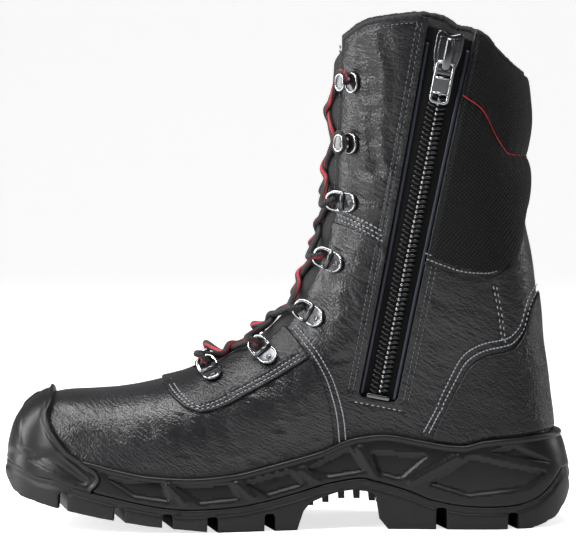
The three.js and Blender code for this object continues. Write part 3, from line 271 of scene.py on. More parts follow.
def form_normal(share, across):
    step = 0.003
    closed = (share >= FLOOR_SHARE) & (np.abs(across) > 1 - step)
    after = np.where(closed, 1 - step, np.clip(across + step, -1, 1))
    before = np.where(closed, -1 + step, np.clip(across - step, -1, 1))
    around = form_point(share, after) - form_point(share, before)
    around = np.where(closed[..., None], -around, around)
    low, high = np.clip(share - step, 0.0005, 1), np.clip(share + step, 0.0005, 1)
    onward = form_point(high, across) - form_point(low, across)
    return unit(np.cross(onward, around))


# %% Lengths over the skin
share_keys = np.unique(np.concatenate([np.linspace(0.0005, 1, 320), FLOOR_SHARE - np.geomspace(1e-5, 0.03, 50)]))
reach_keys = np.linspace(0, 1, 101)
walk_keys = np.arange(0, 222.5, 0.5)
skin = form_point(share_keys[:, None], reach_keys[None, :])
walk_table = np.concatenate([np.zeros((len(share_keys), 1)),
                             np.cumsum(np.linalg.norm(np.diff(skin, axis=1), axis=2), axis=1)], axis=1)
reach_table = np.stack([np.interp(walk_keys, row, reach_keys) for row in walk_table])


def girth(u):
    """How far it is around from the ridge, to the back line or, below the heel, to its continuation."""
    return np.interp(np.maximum(u / RIDGE_LENGTH, FLOOR_SHARE), share_keys, walk_table[:, -1])


def look_up(table, share, place):
    i = np.clip(np.interp(share, share_keys, np.arange(len(share_keys))), 0, len(share_keys) - 1.001)
    j = np.clip(place, 0, table.shape[1] - 1.001)
    i0, j0 = i.astype(int), j.astype(int)
    fi, fj = i - i0, j - j0
    return ((table[i0, j0] * (1 - fj) + table[i0, j0 + 1] * fj) * (1 - fi)
            + (table[i0 + 1, j0] * (1 - fj) + table[i0 + 1, j0 + 1] * fj) * fi)


def uv_of(x, z, side, back=False):
    """The two lengths over the skin of places on the side view. Side is -1 inside and 1 outside."""
    x, z = np.atleast_1d(np.asarray(x, float)), np.atleast_1d(np.asarray(z, float))
    low, high = np.full(x.shape, 0.001), np.ones(x.shape)
    for _ in range(40):
        share = (low + high) / 2
        (ax, az), (bx, bz) = ridge_at(share), chord_foot(share)
        past = (bx - ax) * (z - az) - (bz - az) * (x - ax) > 0
        low, high = np.where(past, share, low), np.where(past, high, share)
    (ax, az), (bx, bz) = ridge_at(share), chord_foot(share)
    chord = (bx - ax) ** 2 + (bz - az) ** 2
    along = np.clip(((x - ax) * (bx - ax) + (z - az) * (bz - az)) / chord, 0, 1)
    near, far = np.zeros(x.shape), np.ones(x.shape)
    for _ in range(30):
        reach = (near + far) / 2
        short = chord_share(share, reach) < along
        near, far = np.where(short, reach, near), np.where(short, far, reach)
    u = share * RIDGE_LENGTH
    v = look_up(walk_table, share, reach * 100)
    return np.stack([u, side * (girth(u) - v if back else v)], axis=-1)


def form_of(uv, back=False):
    """Shares of the form, and so its points, from the two lengths."""
    u, v = uv[:, 0], uv[:, 1]
    walk = np.maximum(girth(u) - np.abs(v), 0) if back else np.abs(v)
    share = np.clip(u / RIDGE_LENGTH, 0.0005, 1)
    side = np.where(v < 0, -1.0, 1.0)
    return share, side * look_up(reach_table, share, walk * 2)


def skin_points(uv, lift, back=False):
    """Points that stand off the form by a lift, in the boot's own millimetres."""
    share, across = form_of(uv, back)
    return form_point(share, across) + form_normal(share, across) * np.asarray(lift)[:, None]


print("chord of the heel at share", round(FLOOR_SHARE, 3), "girth up to", round(float(walk_table.max()), 1), "mm")

# %% [markdown]
# A panel is cut from its outline. The outline is filled with small triangles in the flat (Delaunay
# triangles, which keep every edge and groove line whole), and each corner is then lifted off the form.
# Rings around the edge round it over as a skived leather edge is, and a coarser back closes the piece.

# %% Lines and outlines
def spaced(points, spacing, smooth=False, closed=False):
    """The same line with even steps, run through smoothly where asked."""
    points = np.asarray(points, float)
    if smooth and len(points) > 2:
        ends = np.concatenate([[2 * points[0] - points[1]], points, [2 * points[-1] - points[-2]]])
        t = np.linspace(0, 1, 12, endpoint=False)[:, None]
        parts = []
        for p0, p1, p2, p3 in zip(ends[:-3], ends[1:-2], ends[2:-1], ends[3:]):
            parts.append(p1 + 0.5 * t * (p2 - p0) + t**2 * (p0 - 2.5 * p1 + 2 * p2 - 0.5 * p3)
                         + t**3 * (1.5 * p1 - 0.5 * p0 - 1.5 * p2 + 0.5 * p3))
        points = np.concatenate(parts + [points[-1:]])
    if closed:
        points = np.concatenate([points, points[:1]])
    walk = walk_along(points)
    count = max(2, int(round(walk[-1] / spacing)) + 1)
    at = np.linspace(0, walk[-1], count)
    line = np.stack([np.interp(at, walk, points[:, i]) for i in range(points.shape[1])], axis=1)
    return line[:-1] if closed else line


def wound(shape):
    """The outline, turned to run anticlockwise."""
    area = np.sum(shape[:, 0] * np.roll(shape[:, 1], -1) - shape[:, 1] * np.roll(shape[:, 0], -1))
    return shape if area > 0 else shape[::-1]


def outline_of(*parts, spacing=1.3):
    """A closed outline from lines that follow each other."""
    joined = []
    for part in [np.asarray(part, float) for part in parts if len(part)]:
        if joined:
            between = spaced([joined[-1][-1], part[0]], spacing)[1:-1]
            joined.append(between) if len(between) else None
        joined.append(part)
    between = spaced([joined[-1][-1], joined[0][0]], spacing)[1:-1]
    joined.append(between) if len(between) else None
    outline = np.concatenate(joined)
    gaps = np.linalg.norm(outline - np.roll(outline, 1, axis=0), axis=1)
    outline = outline[gaps > spacing * 0.25]
    return wound(outline)


def inset(outline, distance):
    """The outline moved inwards, with its corners kept apart."""
    onward = unit(np.roll(outline, -1, axis=0) - outline)
    inward = np.stack([-onward[:, 1], onward[:, 0]], axis=1)
    mean = inward + np.roll(inward, 1, axis=0)
    size = np.linalg.norm(mean, axis=1, keepdims=True)
    mean = mean / np.maximum(size, 0.6)
    stretch = np.clip(2 / np.maximum(size, 0.8), 1, 1.6) * np.maximum(size, 0.6) / np.maximum(size, 1e-6)
    return outline + mean * stretch * distance


def inside(points, outline):
    """Which points lie inside the outline."""
    x, y = points[:, 0][:, None], points[:, 1][:, None]
    (x0, y0), (x1, y1) = outline.T, np.roll(outline, -1, axis=0).T
    found = np.zeros(len(points), bool)
    for i in range(0, len(points), 4000):
        part = slice(i, i + 4000)
        crosses = (y0 > y[part]) != (y1 > y[part])
        with np.errstate(divide="ignore", invalid="ignore"):
            at = x0 + (y[part] - y0) / (y1 - y0) * (x1 - x0)
        found[part] = (crosses & (x[part] < at)).sum(axis=1) % 2 == 1
    return found


def fill(outline, spacing, lines=()):
    """Triangles over an outline, with extra lines kept as edges. The outline's points come first."""
    fixed = [outline] + [np.asarray(line) for line in lines]
    tree = kdtree.KDTree(sum(len(line) for line in fixed))
    n = 0
    edges = []
    for k, line in enumerate(fixed):
        for i, point in enumerate(line):
            tree.insert((point[0], point[1], 0), n + i)
        edges += [(n + i, n + i + 1) for i in range(len(line) - 1)]
        if k == 0:
            edges.append((n + len(line) - 1, n))
        n += len(line)
    tree.balance()
    low, high = outline.min(axis=0), outline.max(axis=0)
    grid = []
    for i, row in enumerate(np.arange(low[1], high[1], spacing * 0.87)):
        across = np.arange(low[0] + (i % 2) * spacing / 2, high[0], spacing)
        grid.append(np.stack([across, np.full(len(across), row)], axis=1))
    grid = np.concatenate(grid)
    grid = grid[inside(grid, outline)]
    clear = np.array([tree.find((p[0], p[1], 0))[2] > spacing * 0.62 for p in grid], bool)
    grid = grid[clear] if len(grid) else grid
    points = np.concatenate(fixed + [grid])
    result = geometry.delaunay_2d_cdt([Vector(p) for p in points], edges, [], 1, 1e-5)
    made, faces, origins = result[0], result[2], result[3]
    place = {}
    for i, source in enumerate(origins):
        for k in source:
            place[k] = i
    order = [place[k] for k in range(len(outline))]
    seen = set(order)
    order += [i for i in range(len(made)) if i not in seen]
    turn = {old: new for new, old in enumerate(order)}
    flat = np.array([made[i][:] for i in order])
    triangles = np.array([[turn[a] for a in face] for face in faces])
    a, b, c = (flat[triangles[:, i]] for i in range(3))
    area = (b[:, 0] - a[:, 0]) * (c[:, 1] - a[:, 1]) - (b[:, 1] - a[:, 1]) * (c[:, 0] - a[:, 0])
    triangles[area < 0] = triangles[area < 0][:, ::-1]
    return flat, triangles[np.abs(area) > 1e-7]


def to_frame(points):
    return (np.asarray(points) + ORIGIN) / 1000


def mesh_piece(name, points, faces, material, uv=None, smooth=True):
    """A mesh object with its place in its mesh."""
    mesh = bpy.data.meshes.new(name)
    mesh.from_pydata(to_frame(points).tolist(), [], [tuple(int(i) for i in face) for face in faces])
    if uv is not None:
        layer = mesh.uv_layers.new(name="surface")
        corners = np.empty(len(mesh.loops), dtype=np.int32)
        mesh.loops.foreach_get("vertex_index", corners)
        layer.data.foreach_set("uv", (np.asarray(uv)[corners] / 1000).ravel())
    mesh.validate()
    mesh.shade_smooth() if smooth else mesh.shade_flat()
    piece = put(name, mesh)
    for one in material if isinstance(material, (list, tuple)) else [material]:
        mesh.materials.append(one)
    return piece


ROUND = [(1.0, 0.0), (0.55, 0.6), (0.16, 1.0)]


def kept_runs(line, outline, clear=0.6):
    """The runs of a line that lie inside an outline and clear of it."""
    line = np.asarray(line)
    keep = inside(line, outline) & (near_line(line, np.concatenate([outline, outline[:1]])) > clear)
    runs = np.split(np.arange(len(line)), np.where(np.diff(keep.astype(int)) != 0)[0] + 1)
    return [line[run] for run in runs if len(run) > 1 and keep[run[0]]]


def cut_piece(outline, low, high, place, relief=None, lines=(), spacing=1.4, edge=0.5, turned=False):
    """Points, faces and flat places of a closed piece: its face stands at high and its back lies at low."""
    rings = [inset(outline, edge * share_in) for share_in, _ in ROUND]
    flat, triangles = fill(rings[0], spacing, [run for line in lines for run in kept_runs(line, rings[0])])
    n = len(outline)
    raised = relief(flat) if relief else np.zeros(len(flat))
    points, uvs = [place(flat, high + raised)], [flat]
    faces = triangles.tolist()
    start, total = 0, len(flat)
    for (share_in, share_down), ring in zip(ROUND[1:], rings[1:]):
        level = high - edge * (1 - math.sqrt(1 - share_down**2))
        points.append(place(ring, np.maximum(level + raised[:n], low + 0.02)))
        uvs.append(ring)
        faces += [[total + i, total + (i + 1) % n, start + (i + 1) % n, start + i] for i in range(n)]
        start, total = total, total + n
    back_flat, back_faces = fill(rings[-1], max(4.0, 2.5 * spacing))
    points.append(place(back_flat, np.full(len(back_flat), float(low))))
    uvs.append(back_flat)
    front_count = len(faces)
    faces += [[total + i, total + (i + 1) % n, start + (i + 1) % n, start + i] for i in range(n)]
    faces += (back_faces[:, ::-1] + total).tolist()
    if turned:
        faces = [face[::-1] for face in faces]
    return np.concatenate(points), faces, np.concatenate(uvs), front_count


def close_up(piece):
    """Fills the few small openings left where seams meet in a narrow corner."""
    mesh = bmesh.new()
    mesh.from_mesh(piece.data)
    made = bmesh.ops.holes_fill(mesh, edges=[edge for edge in mesh.edges if edge.is_boundary], sides=16)["faces"]
    layer = mesh.loops.layers.uv.active
    for face in made:
        for loop in face.loops:
            other = next(near for near in loop.vert.link_loops if near.face not in made)
            loop[layer].uv = other[layer].uv
            face.material_index = other.face.material_index
        first = face.loops[0]
        if first.link_loop_radial_next.vert == first.vert:
            face.normal_flip()
    bmesh.ops.triangulate(mesh, faces=made)
    mesh.to_mesh(piece.data)
    mesh.free()
    return len(made)


def panel(name, outline, low, high, material, back=False, place=None, inner=None, **options):
    """A panel of its own. The inner material, if any, is on its back."""
    place = place or (lambda uv, lift: skin_points(uv, lift, back))
    points, faces, uv, front_count = cut_piece(outline, low, high, place, turned=back, **options)
    piece = mesh_piece(name, points, faces, [material, inner] if inner else material, uv)
    if inner:
        marks = np.zeros(len(piece.data.polygons), dtype=np.int32)
        marks[front_count:] = 1
        piece.data.polygons.foreach_set("material_index", marks)
    print(f"{name}: {len(faces)} faces, {close_up(piece)} openings filled")
    return piece


# %% Distances and soft noise, for relief
def near_line(points, line):
    """Distance of each point from a line in the flat."""
    a, b = line[:-1], line[1:]
    best = np.full(len(points), 1e9)
    for p, q in zip(a, b):
        run = q - p
        t = np.clip(((points - p) @ run) / max(run @ run, 1e-9), 0, 1)
        best = np.minimum(best, np.linalg.norm(points - p - t[:, None] * run, axis=1))
    return best


lattice = np.random.default_rng(11).random((64, 64, 64))


def soft_noise(points):
    """Smooth values between -1 and 1 for points in space."""
    points = np.asarray(points, float)
    cell = np.floor(points).astype(int)
    t = points - cell
    t = t * t * (3 - 2 * t)
    total = np.zeros(len(points))
    for dx in (0, 1):
        for dy in (0, 1):
            for dz in (0, 1):
                weight = (np.where(dx, t[:, 0], 1 - t[:, 0]) * np.where(dy, t[:, 1], 1 - t[:, 1])
                          * np.where(dz, t[:, 2], 1 - t[:, 2]))
                total += weight * lattice[(cell[:, 0] + dx) % 64, (cell[:, 1] + dy) % 64, (cell[:, 2] + dz) % 64]
    return total * 2 - 1


print("helpers ready")

# %% [markdown]
# Black leather, rubber and cloth differ in how they break the light, hardly in colour. The leather has
# pebbles about a millimetre wide and finer wrinkles that run around the foot, because it bends along
# it. The rubber is satin with a faint mottle, and the cloth shows its weave. Effects that several
# materials share are node groups, and each material places them with its own values.

# %% Helpers for materials
def link(tree, source, target):
    tree.links.new(source, target)


def node(tree, kind, **values):
    made = tree.nodes.new(kind)
    for key, value in values.items():
        if key in made.inputs:
            made.inputs[key].default_value = value
        else:
            setattr(made, key, value)
    return made


def group(name, inputs, outputs):
    tree = bpy.data.node_groups.new(name, "ShaderNodeTree")
    for label, value in inputs.items():
        socket = tree.interface.new_socket(label, in_out="INPUT", socket_type="NodeSocketFloat")
        socket.default_value = value
    for label in outputs:
        tree.interface.new_socket(label, in_out="OUTPUT", socket_type="NodeSocketFloat")
    return tree, tree.nodes.new("NodeGroupInput"), tree.nodes.new("NodeGroupOutput")


def maths(tree, operation, a, b=None):
    made = node(tree, "ShaderNodeMath", operation=operation)
    for i, value in enumerate((a, b)):
        if value is None:
            continue
        if isinstance(value, (int, float)):
            made.inputs[i].default_value = value
        else:
            link(tree, value, made.inputs[i])
    return made.outputs[0]


def new_material(name):
    material = bpy.data.materials.new(name)
    material.use_nodes = True
    return material, material.node_tree, material.node_tree.nodes["Principled BSDF"]


def ranged(tree, value, *limits):
    """A value mapped from one range to another."""
    made = node(tree, "ShaderNodeMapRange")
    for label, limit in zip(("From Min", "From Max", "To Min", "To Max"), limits):
        made.inputs[label].default_value = limit
    link(tree, value, made.inputs["Value"])
    return made.outputs[0]


def stretched(tree, coordinate, along, across, up=1.0):
    """Coordinates in turns of a pattern, where along, across and up are turns for each millimetre."""
    made = node(tree, "ShaderNodeVectorMath", operation="MULTIPLY")
    link(tree, coordinate, made.inputs[0])
    if isinstance(along, (int, float)):
        made.inputs[1].default_value = (along * 1000, across * 1000, up * 1000)
    else:
        joined = node(tree, "ShaderNodeCombineXYZ")
        for i, value in enumerate((along, across, up)):
            if isinstance(value, (int, float)):
                joined.inputs[i].default_value = value * 1000
            else:
                link(tree, maths(tree, "MULTIPLY", value, 1000.0), joined.inputs[i])
        link(tree, joined.outputs[0], made.inputs[1])
    return made.outputs[0]


# %% Grain, mottle and weave
def leather_group():
    tree, given, out = group("leather grain", {"Wrinkles": 0.5, "Pebbles": 0.9, "Length": 0.13},
                             ["Height", "Tone"])
    where = node(tree, "ShaderNodeTexCoord")
    runs = stretched(tree, where.outputs["UV"], given.outputs["Wrinkles"], given.outputs["Length"], 0.0)
    wrinkle = node(tree, "ShaderNodeTexNoise", Scale=1.0, Detail=2.0, Roughness=0.5, Distortion=0.35)
    link(tree, runs, wrinkle.inputs["Vector"])
    cells = stretched(tree, where.outputs["Object"], given.outputs["Pebbles"], given.outputs["Pebbles"],
                      given.outputs["Pebbles"])
    pebble = node(tree, "ShaderNodeTexVoronoi", feature="SMOOTH_F1", Scale=1.0, Smoothness=0.35)
    link(tree, cells, pebble.inputs["Vector"])
    broad = node(tree, "ShaderNodeTexNoise", Scale=45.0, Detail=2.0)
    link(tree, where.outputs["Object"], broad.inputs["Vector"])
    gathered = ranged(tree, broad.outputs[0], 0.42, 0.62, 0.35, 1.0)
    folded = maths(tree, "MULTIPLY", wrinkle.outputs[0], gathered)
    height = maths(tree, "SUBTRACT", maths(tree, "MULTIPLY", folded, 2.0),
                   maths(tree, "MULTIPLY", pebble.outputs["Distance"], 0.45))
    link(tree, height, out.inputs["Height"])
    link(tree, broad.outputs[0], out.inputs["Tone"])
    return tree


def weave_group():
    tree, given, out = group("diagonal weave", {"Pitch": 0.26}, ["Height", "Tone"])
    where = node(tree, "ShaderNodeTexCoord")
    heights = []
    for turn in (1.0, -1.0):
        spot = node(tree, "ShaderNodeMapping")
        spot.inputs["Rotation"].default_value = (0, 0, turn * math.radians(50))
        spot.inputs["Scale"].default_value = (1000, 1000, 1000)
        link(tree, where.outputs["UV"], spot.inputs["Vector"])
        wave = node(tree, "ShaderNodeTexWave", Distortion=0.25, Detail=1.0)
        link(tree, given.outputs["Pitch"], wave.inputs["Scale"])
        link(tree, spot.outputs[0], wave.inputs["Vector"])
        heights.append(wave.outputs["Fac"])
    crossing = maths(tree, "MULTIPLY", heights[0], heights[1])
    link(tree, crossing, out.inputs["Height"])
    link(tree, crossing, out.inputs["Tone"])
    return tree


def mottle_group():
    tree, given, out = group("mottle", {"Fine": 900.0, "Broad": 60.0}, ["Height", "Tone"])
    where = node(tree, "ShaderNodeTexCoord")
    for key, label in (("Fine", "Height"), ("Broad", "Tone")):
        noise = node(tree, "ShaderNodeTexNoise", Detail=3.0)
        link(tree, given.outputs[key], noise.inputs["Scale"])
        link(tree, where.outputs["Object"], noise.inputs["Vector"])
        link(tree, noise.outputs[0], out.inputs[label])
    return tree


GRAIN, WEAVE, MOTTLE = leather_group(), weave_group(), mottle_group()


def finish(name, color, tone, roughness, spread, pattern, depth, settings=None, **sockets):
    """A material: two tones of one colour, a roughness with some spread, and a pattern as bump in mm."""
    material, tree, shader = new_material(name)
    shader.inputs["Specular IOR Level"].default_value = 0.36
    for key, value in sockets.items():
        shader.inputs[key.replace("_", " ")].default_value = value
    made = node(tree, "ShaderNodeGroup", node_tree=pattern)
    for key, value in (settings or {}).items():
        made.inputs[key].default_value = value
    mottle = made if "Tone" in made.outputs else node(tree, "ShaderNodeGroup", node_tree=MOTTLE)
    ramp = node(tree, "ShaderNodeMix", data_type="RGBA")
    ramp.inputs[6].default_value = (*color, 1)
    ramp.inputs[7].default_value = (*[c * tone for c in color], 1)
    link(tree, mottle.outputs["Tone"], ramp.inputs[0])
    link(tree, ramp.outputs[2], shader.inputs["Base Color"])
    rough = ranged(tree, mottle.outputs["Tone"], 0.0, 1.0, roughness - spread, roughness + spread)
    link(tree, rough, shader.inputs["Roughness"])
    bump = node(tree, "ShaderNodeBump", Strength=1.0, Distance=depth / 1000)
    link(tree, made.outputs["Height"], bump.inputs["Height"])
    link(tree, bump.outputs[0], shader.inputs["Normal"])
    return material


vamp_leather = finish("vamp leather", (0.0075, 0.0076, 0.0086), 1.6, 0.33, 0.05, GRAIN, 0.4,
                      {"Wrinkles": 0.62, "Pebbles": 0.95, "Length": 0.16}, Specular_IOR_Level=0.5)
shaft_leather = finish("shaft leather", (0.0065, 0.0066, 0.0075), 1.6, 0.34, 0.05, GRAIN, 0.42,
                       {"Wrinkles": 0.46, "Pebbles": 0.8, "Length": 0.13}, Specular_IOR_Level=0.45)
patch_leather = finish("patch leather", (0.0075, 0.0076, 0.0085), 1.5, 0.35, 0.05, GRAIN, 0.5,
                       {"Wrinkles": 0.55, "Pebbles": 0.95, "Length": 0.2})
sole_rubber = finish("sole rubber", (0.0072, 0.0073, 0.0077), 1.35, 0.33, 0.04, MOTTLE, 0.05,
                     Specular_IOR_Level=0.28)
tread_rubber = finish("tread rubber", (0.0085, 0.0086, 0.009), 1.3, 0.44, 0.05, MOTTLE, 0.07,
                      Specular_IOR_Level=0.28)
collar_cloth = finish("collar cloth", (0.0034, 0.0035, 0.0038), 4.5, 0.62, 0.06, WEAVE, 0.4, {"Pitch": 0.18},
                      Specular_IOR_Level=0.12)
tongue_cloth = finish("tongue cloth", (0.008, 0.0081, 0.009), 1.5, 0.7, 0.06, WEAVE, 0.12, {"Pitch": 0.36})
lining_cloth = finish("lining cloth", (0.011, 0.011, 0.012), 1.6, 0.85, 0.05, MOTTLE, 0.4, {"Fine": 700.0})
binding_cloth = finish("binding cloth", (0.012, 0.012, 0.013), 2.2, 0.85, 0.05, MOTTLE, 0.9, {"Fine": 600.0})
zip_cloth = finish("zip cloth", (0.0035, 0.0036, 0.004), 1.5, 0.7, 0.06, WEAVE, 0.1, {"Pitch": 0.42},
                   Specular_IOR_Level=0.12)
zip_edge = finish("zip edge", (0.013, 0.016, 0.025), 1.3, 0.38, 0.04, MOTTLE, 0.04)
coil_plastic = finish("coil plastic", (0.0065, 0.0066, 0.007), 1.4, 0.2, 0.04, MOTTLE, 0.01)
dark_metal = finish("dark metal", (0.085, 0.086, 0.09), 1.35, 0.3, 0.05, MOTTLE, 0.006, {"Fine": 400.0}, Metallic=1.0)
slider_metal = finish("slider metal", (0.11, 0.111, 0.116), 1.5, 0.24, 0.06, MOTTLE, 0.01, {"Fine": 500.0},
                      Metallic=1.0)
grey_thread = finish("grey thread", (0.2, 0.205, 0.225), 1.6, 0.6, 0.05, MOTTLE, 0.05)
dark_thread = finish("dark thread", (0.06, 0.062, 0.07), 1.6, 0.6, 0.05, MOTTLE, 0.05)
red_thread = finish("red thread", (0.27, 0.01, 0.018), 1.5, 0.55, 0.05, MOTTLE, 0.05)
print(len(bpy.data.materials), "materials")

# %% [markdown]
# The panels. On the real boot the vamp overlaps the quarter, the patch for the lowest lace loops lies
# on both, and the stiffener lies around the heel. Each outline below is a row of places on the side
# view, in millimetres from the tip of the toe and from the floor, used for both sides of the boot. The
# inner side alone has the slot for the zip.

# %% Lines that the panels share
THROAT_START, THROAT_HALF = 0.36 * RIDGE_LENGTH, 18.0
VAMP_SEAM = [(152.3, 111.3), (160.4, 102.6), (166.9, 93.9), (172.4, 83.5), (176.2, 72.1), (178.9, 59.6), (180.5, 41)]
QUARTER_SEAM = [(176.0, 168.0), (179.4, 166.9), (189.7, 163.4), (199, 158.9), (208.6, 153.5)]
REAR_SEAM = [(228.6, 145.5), (237.3, 142.2), (246, 139), (253.5, 137.3), (264.4, 136.8), (270, 138.8), (274.5, 143.2),
             (278.9, 152), (281.5, 160), (284.0, 167.5)]
COLLAR = [(185.4, 266.4), (190, 269.8), (195, 273.4), (201.5, 275.7), (213.9, 277.6), (226.6, 278.8), (234.7, 278.2),
          (243.0, 275.9), (249.2, 271.7), (256.7, 270.3), (262.3, 267), (266.6, 261.6), (270.9, 257.1), (278.1, 250.6),
          (283.6, 246.6)]
STAY = [(86.0, 77.3), (86.8, 76.6), (88.4, 75.2), (92, 71.2), (99, 66.4), (105.5, 64.2), (109.9, 64.1), (120.8, 67.3),
        (139.8, 76.6), (156.1, 85.9), (166.9, 93)]
STAY_REAR = [(166.9, 93), (161.5, 101.1), (153.4, 109.9)]
COUNTER = [(233.4, 50), (240.7, 65), (247.2, 77.5), (252.6, 87.3), (258, 92.2), (264.5, 94.9), (272.6, 96.4),
           (277.5, 98.4), (282.4, 105.2), (285.1, 115.1), (287.8, 122.8), (291.5, 126.6)]
ZIP_FOOT = np.array([0.6565 * LENGTH, 0.249 * HEIGHT])
ZIP_HEAD = np.array([0.7855 * LENGTH, 0.972 * HEIGHT])
ZIP_LENGTH = float(np.linalg.norm(ZIP_HEAD - ZIP_FOOT))
zip_up = (ZIP_HEAD - ZIP_FOOT) / ZIP_LENGTH
zip_across = np.array([zip_up[1], -zip_up[0]])
SLOT_WIDTH, SLOT_FLARE = 21.0, 5.0
STEP = 1.4


def zip_place(up, across):
    return ZIP_FOOT + np.outer(np.atleast_1d(up), zip_up) + np.outer(np.atleast_1d(across), zip_across)


def slot_half(up):
    return SLOT_WIDTH / 2 + SLOT_FLARE / 2 * np.maximum(0, np.asarray(up) / ZIP_LENGTH) ** 2


def slot_side(sign, low, high, extra=0.0, count=40):
    ups = np.linspace(low, high, count)
    return zip_place(ups, sign * (slot_half(ups) + extra))


def laid(points, side, back=True, smooth=True, step=STEP):
    """A line of the side view, laid on the form."""
    line = spaced(points, step, smooth)
    return uv_of(line[:, 0], line[:, 1], side, back)


def throat_line(side, low, high, half=THROAT_HALF, back=True, start=THROAT_START, step=STEP):
    """The edge of the facing, between two lengths along the ridge."""
    u = np.linspace(low, high, max(3, int((high - low) / step)))
    end = np.clip(1 - (u - start) / half, 0, 1)
    width = np.maximum(np.sqrt(np.maximum(1 - end**2, 0)) * half, 0.05)
    share = u / RIDGE_LENGTH
    near, far = np.zeros(len(u)), np.full(len(u), 0.5)
    (ax, az), (bx, bz) = ridge_at(share), chord_foot(share)
    for _ in range(32):
        reach = (near + far) / 2
        along = chord_share(share, reach)
        narrow = half_width(ax + (bx - ax) * along, az + (bz - az) * along) < width
        near, far = np.where(narrow, reach, near), np.where(narrow, far, reach)
    v = look_up(walk_table, share, reach * 100)
    return np.stack([u, side * (girth(u) - v if back else v)], axis=-1)


def beyond_throat(line, back=True):
    """Drops the part of a laid line that lies in the throat."""
    u, v = line[:, 0], np.abs(line[:, 1])
    limit = np.abs(throat_line(1, u.min() - 1, u.max() + 1, back=back))
    edge = np.interp(u, limit[:, 0], limit[:, 1])
    return line[v < edge - 0.4] if back else line[v > edge + 0.4]


def u_of(x, z):
    return float(uv_of(x, z, 1)[0, 0])


def feather_line(side, low, high, lift=-3.0, back=True):
    x = np.linspace(low, high, max(3, int(abs(high - low) / STEP)))
    return uv_of(x, feather(x) + lift, side, back)


def beside(line, distance):
    """A line parallel to another in the flat."""
    run = unit(np.gradient(line, axis=0))
    return line + np.stack([-run[:, 1], run[:, 0]], axis=1) * distance


u_vamp = u_of(153.0, 110.4)
u_quarter = u_of(178.5, 167.2)
u_collar = u_of(185.0, 266.2)
print("throat from", round(THROAT_START, 1), "seam at", round(u_vamp, 1), "quarter", round(u_quarter, 1),
      "collar", round(u_collar, 1))

# %% [markdown]
# Leather isn't smooth like the form: it swells softly between the seams, gathers in shallow folds where
# the foot bends, and sinks along each row of stitches. Those are moved into the mesh, so that they are
# there from every side.

# %% Relief of the leather
GROOVE = 0.5


def grooves(lines):
    """For each line of stitches, the line and one on each side, as edges for the mesh."""
    return [beside(line, shift) for line in lines for shift in (-0.75, 0.0, 0.75)]


def leather_relief(back, stitched, folds=(), swell=0.35):
    def relief(flat):
        points = form_point(*form_of(flat, back))
        height = swell * soft_noise(points / 26.0) + 0.4 * swell * soft_noise(points / 9.0)
        for line in stitched:
            height -= GROOVE * np.exp(-(near_line(flat, line) / 0.6) ** 2)
        for line, depth, width in folds:
            near = near_line(flat, line) / width
            height += depth * (0.45 * np.exp(-((near - 1.9) / 0.9) ** 2) - np.exp(-near**2))
        return height

    return relief


def folds_on(rows, back, sides=(-1, 1)):
    """Folds listed one by one: a line of the side view, its depth and its half width."""
    return [(laid(line, side, back, step=4.0), depth, width) for line, depth, width in rows for side in sides]


stitch_rows = []       # (line, back, lift, thread)


def sew(line, back, lift, thread="grey", trim=1.5):
    """Keeps a row of stitches for later."""
    walk = walk_along(line)
    keep = (walk > trim) & (walk < walk[-1] - trim)
    if keep.sum() > 3:
        stitch_rows.append((line[keep], back, lift, thread))


# %% Vamp
throat_inner = throat_line(-1, THROAT_START, u_vamp, back=False)
throat_outer = throat_line(1, THROAT_START, u_vamp, back=False)
seams = {side: beyond_throat(laid(VAMP_SEAM, side, back=False), back=False) for side in (-1, 1)}
vamp_rows = [beside(seams[side], -side * inside_by)[1:] for side in (-1, 1) for inside_by in (2.0, 4.6)]
vamp_outline = outline_of(
    seams[-1][::-1], throat_inner[::-1], throat_outer, seams[1],
    feather_line(1, 176, 16, back=False), feather_line(-1, 16, 176, back=False))
vamp_folds = folds_on([
    ([(108, 60), (112, 50), (113, 40)], 0.3, 2.2), ([(119, 64), (122, 54), (126, 44)], 0.42, 2.6),
    ([(131, 70), (134, 59), (133, 48), (136, 38)], 0.36, 2.2), ([(144, 77), (147, 66), (149, 55)], 0.42, 2.6),
    ([(158, 84), (158, 74), (161, 64)], 0.3, 2.0), ([(97, 62), (96, 52), (99, 42)], 0.26, 2.2),
    ([(83, 73), (79, 63), (80, 52)], 0.24, 2.4), ([(64, 70), (62, 60), (65, 50)], 0.18, 2.6),
    ([(167, 72), (170, 60), (170, 50)], 0.28, 2.0), ([(152, 58), (155, 48), (153, 42)], 0.28, 2.0),
], back=False)
vamp = panel("vamp", vamp_outline, -2.2, VAMP_STEP, vamp_leather, inner=lining_cloth,
             relief=leather_relief(False, vamp_rows, vamp_folds), lines=grooves(vamp_rows), edge=0.55)
for line in vamp_rows:
    sew(line, False, VAMP_STEP)

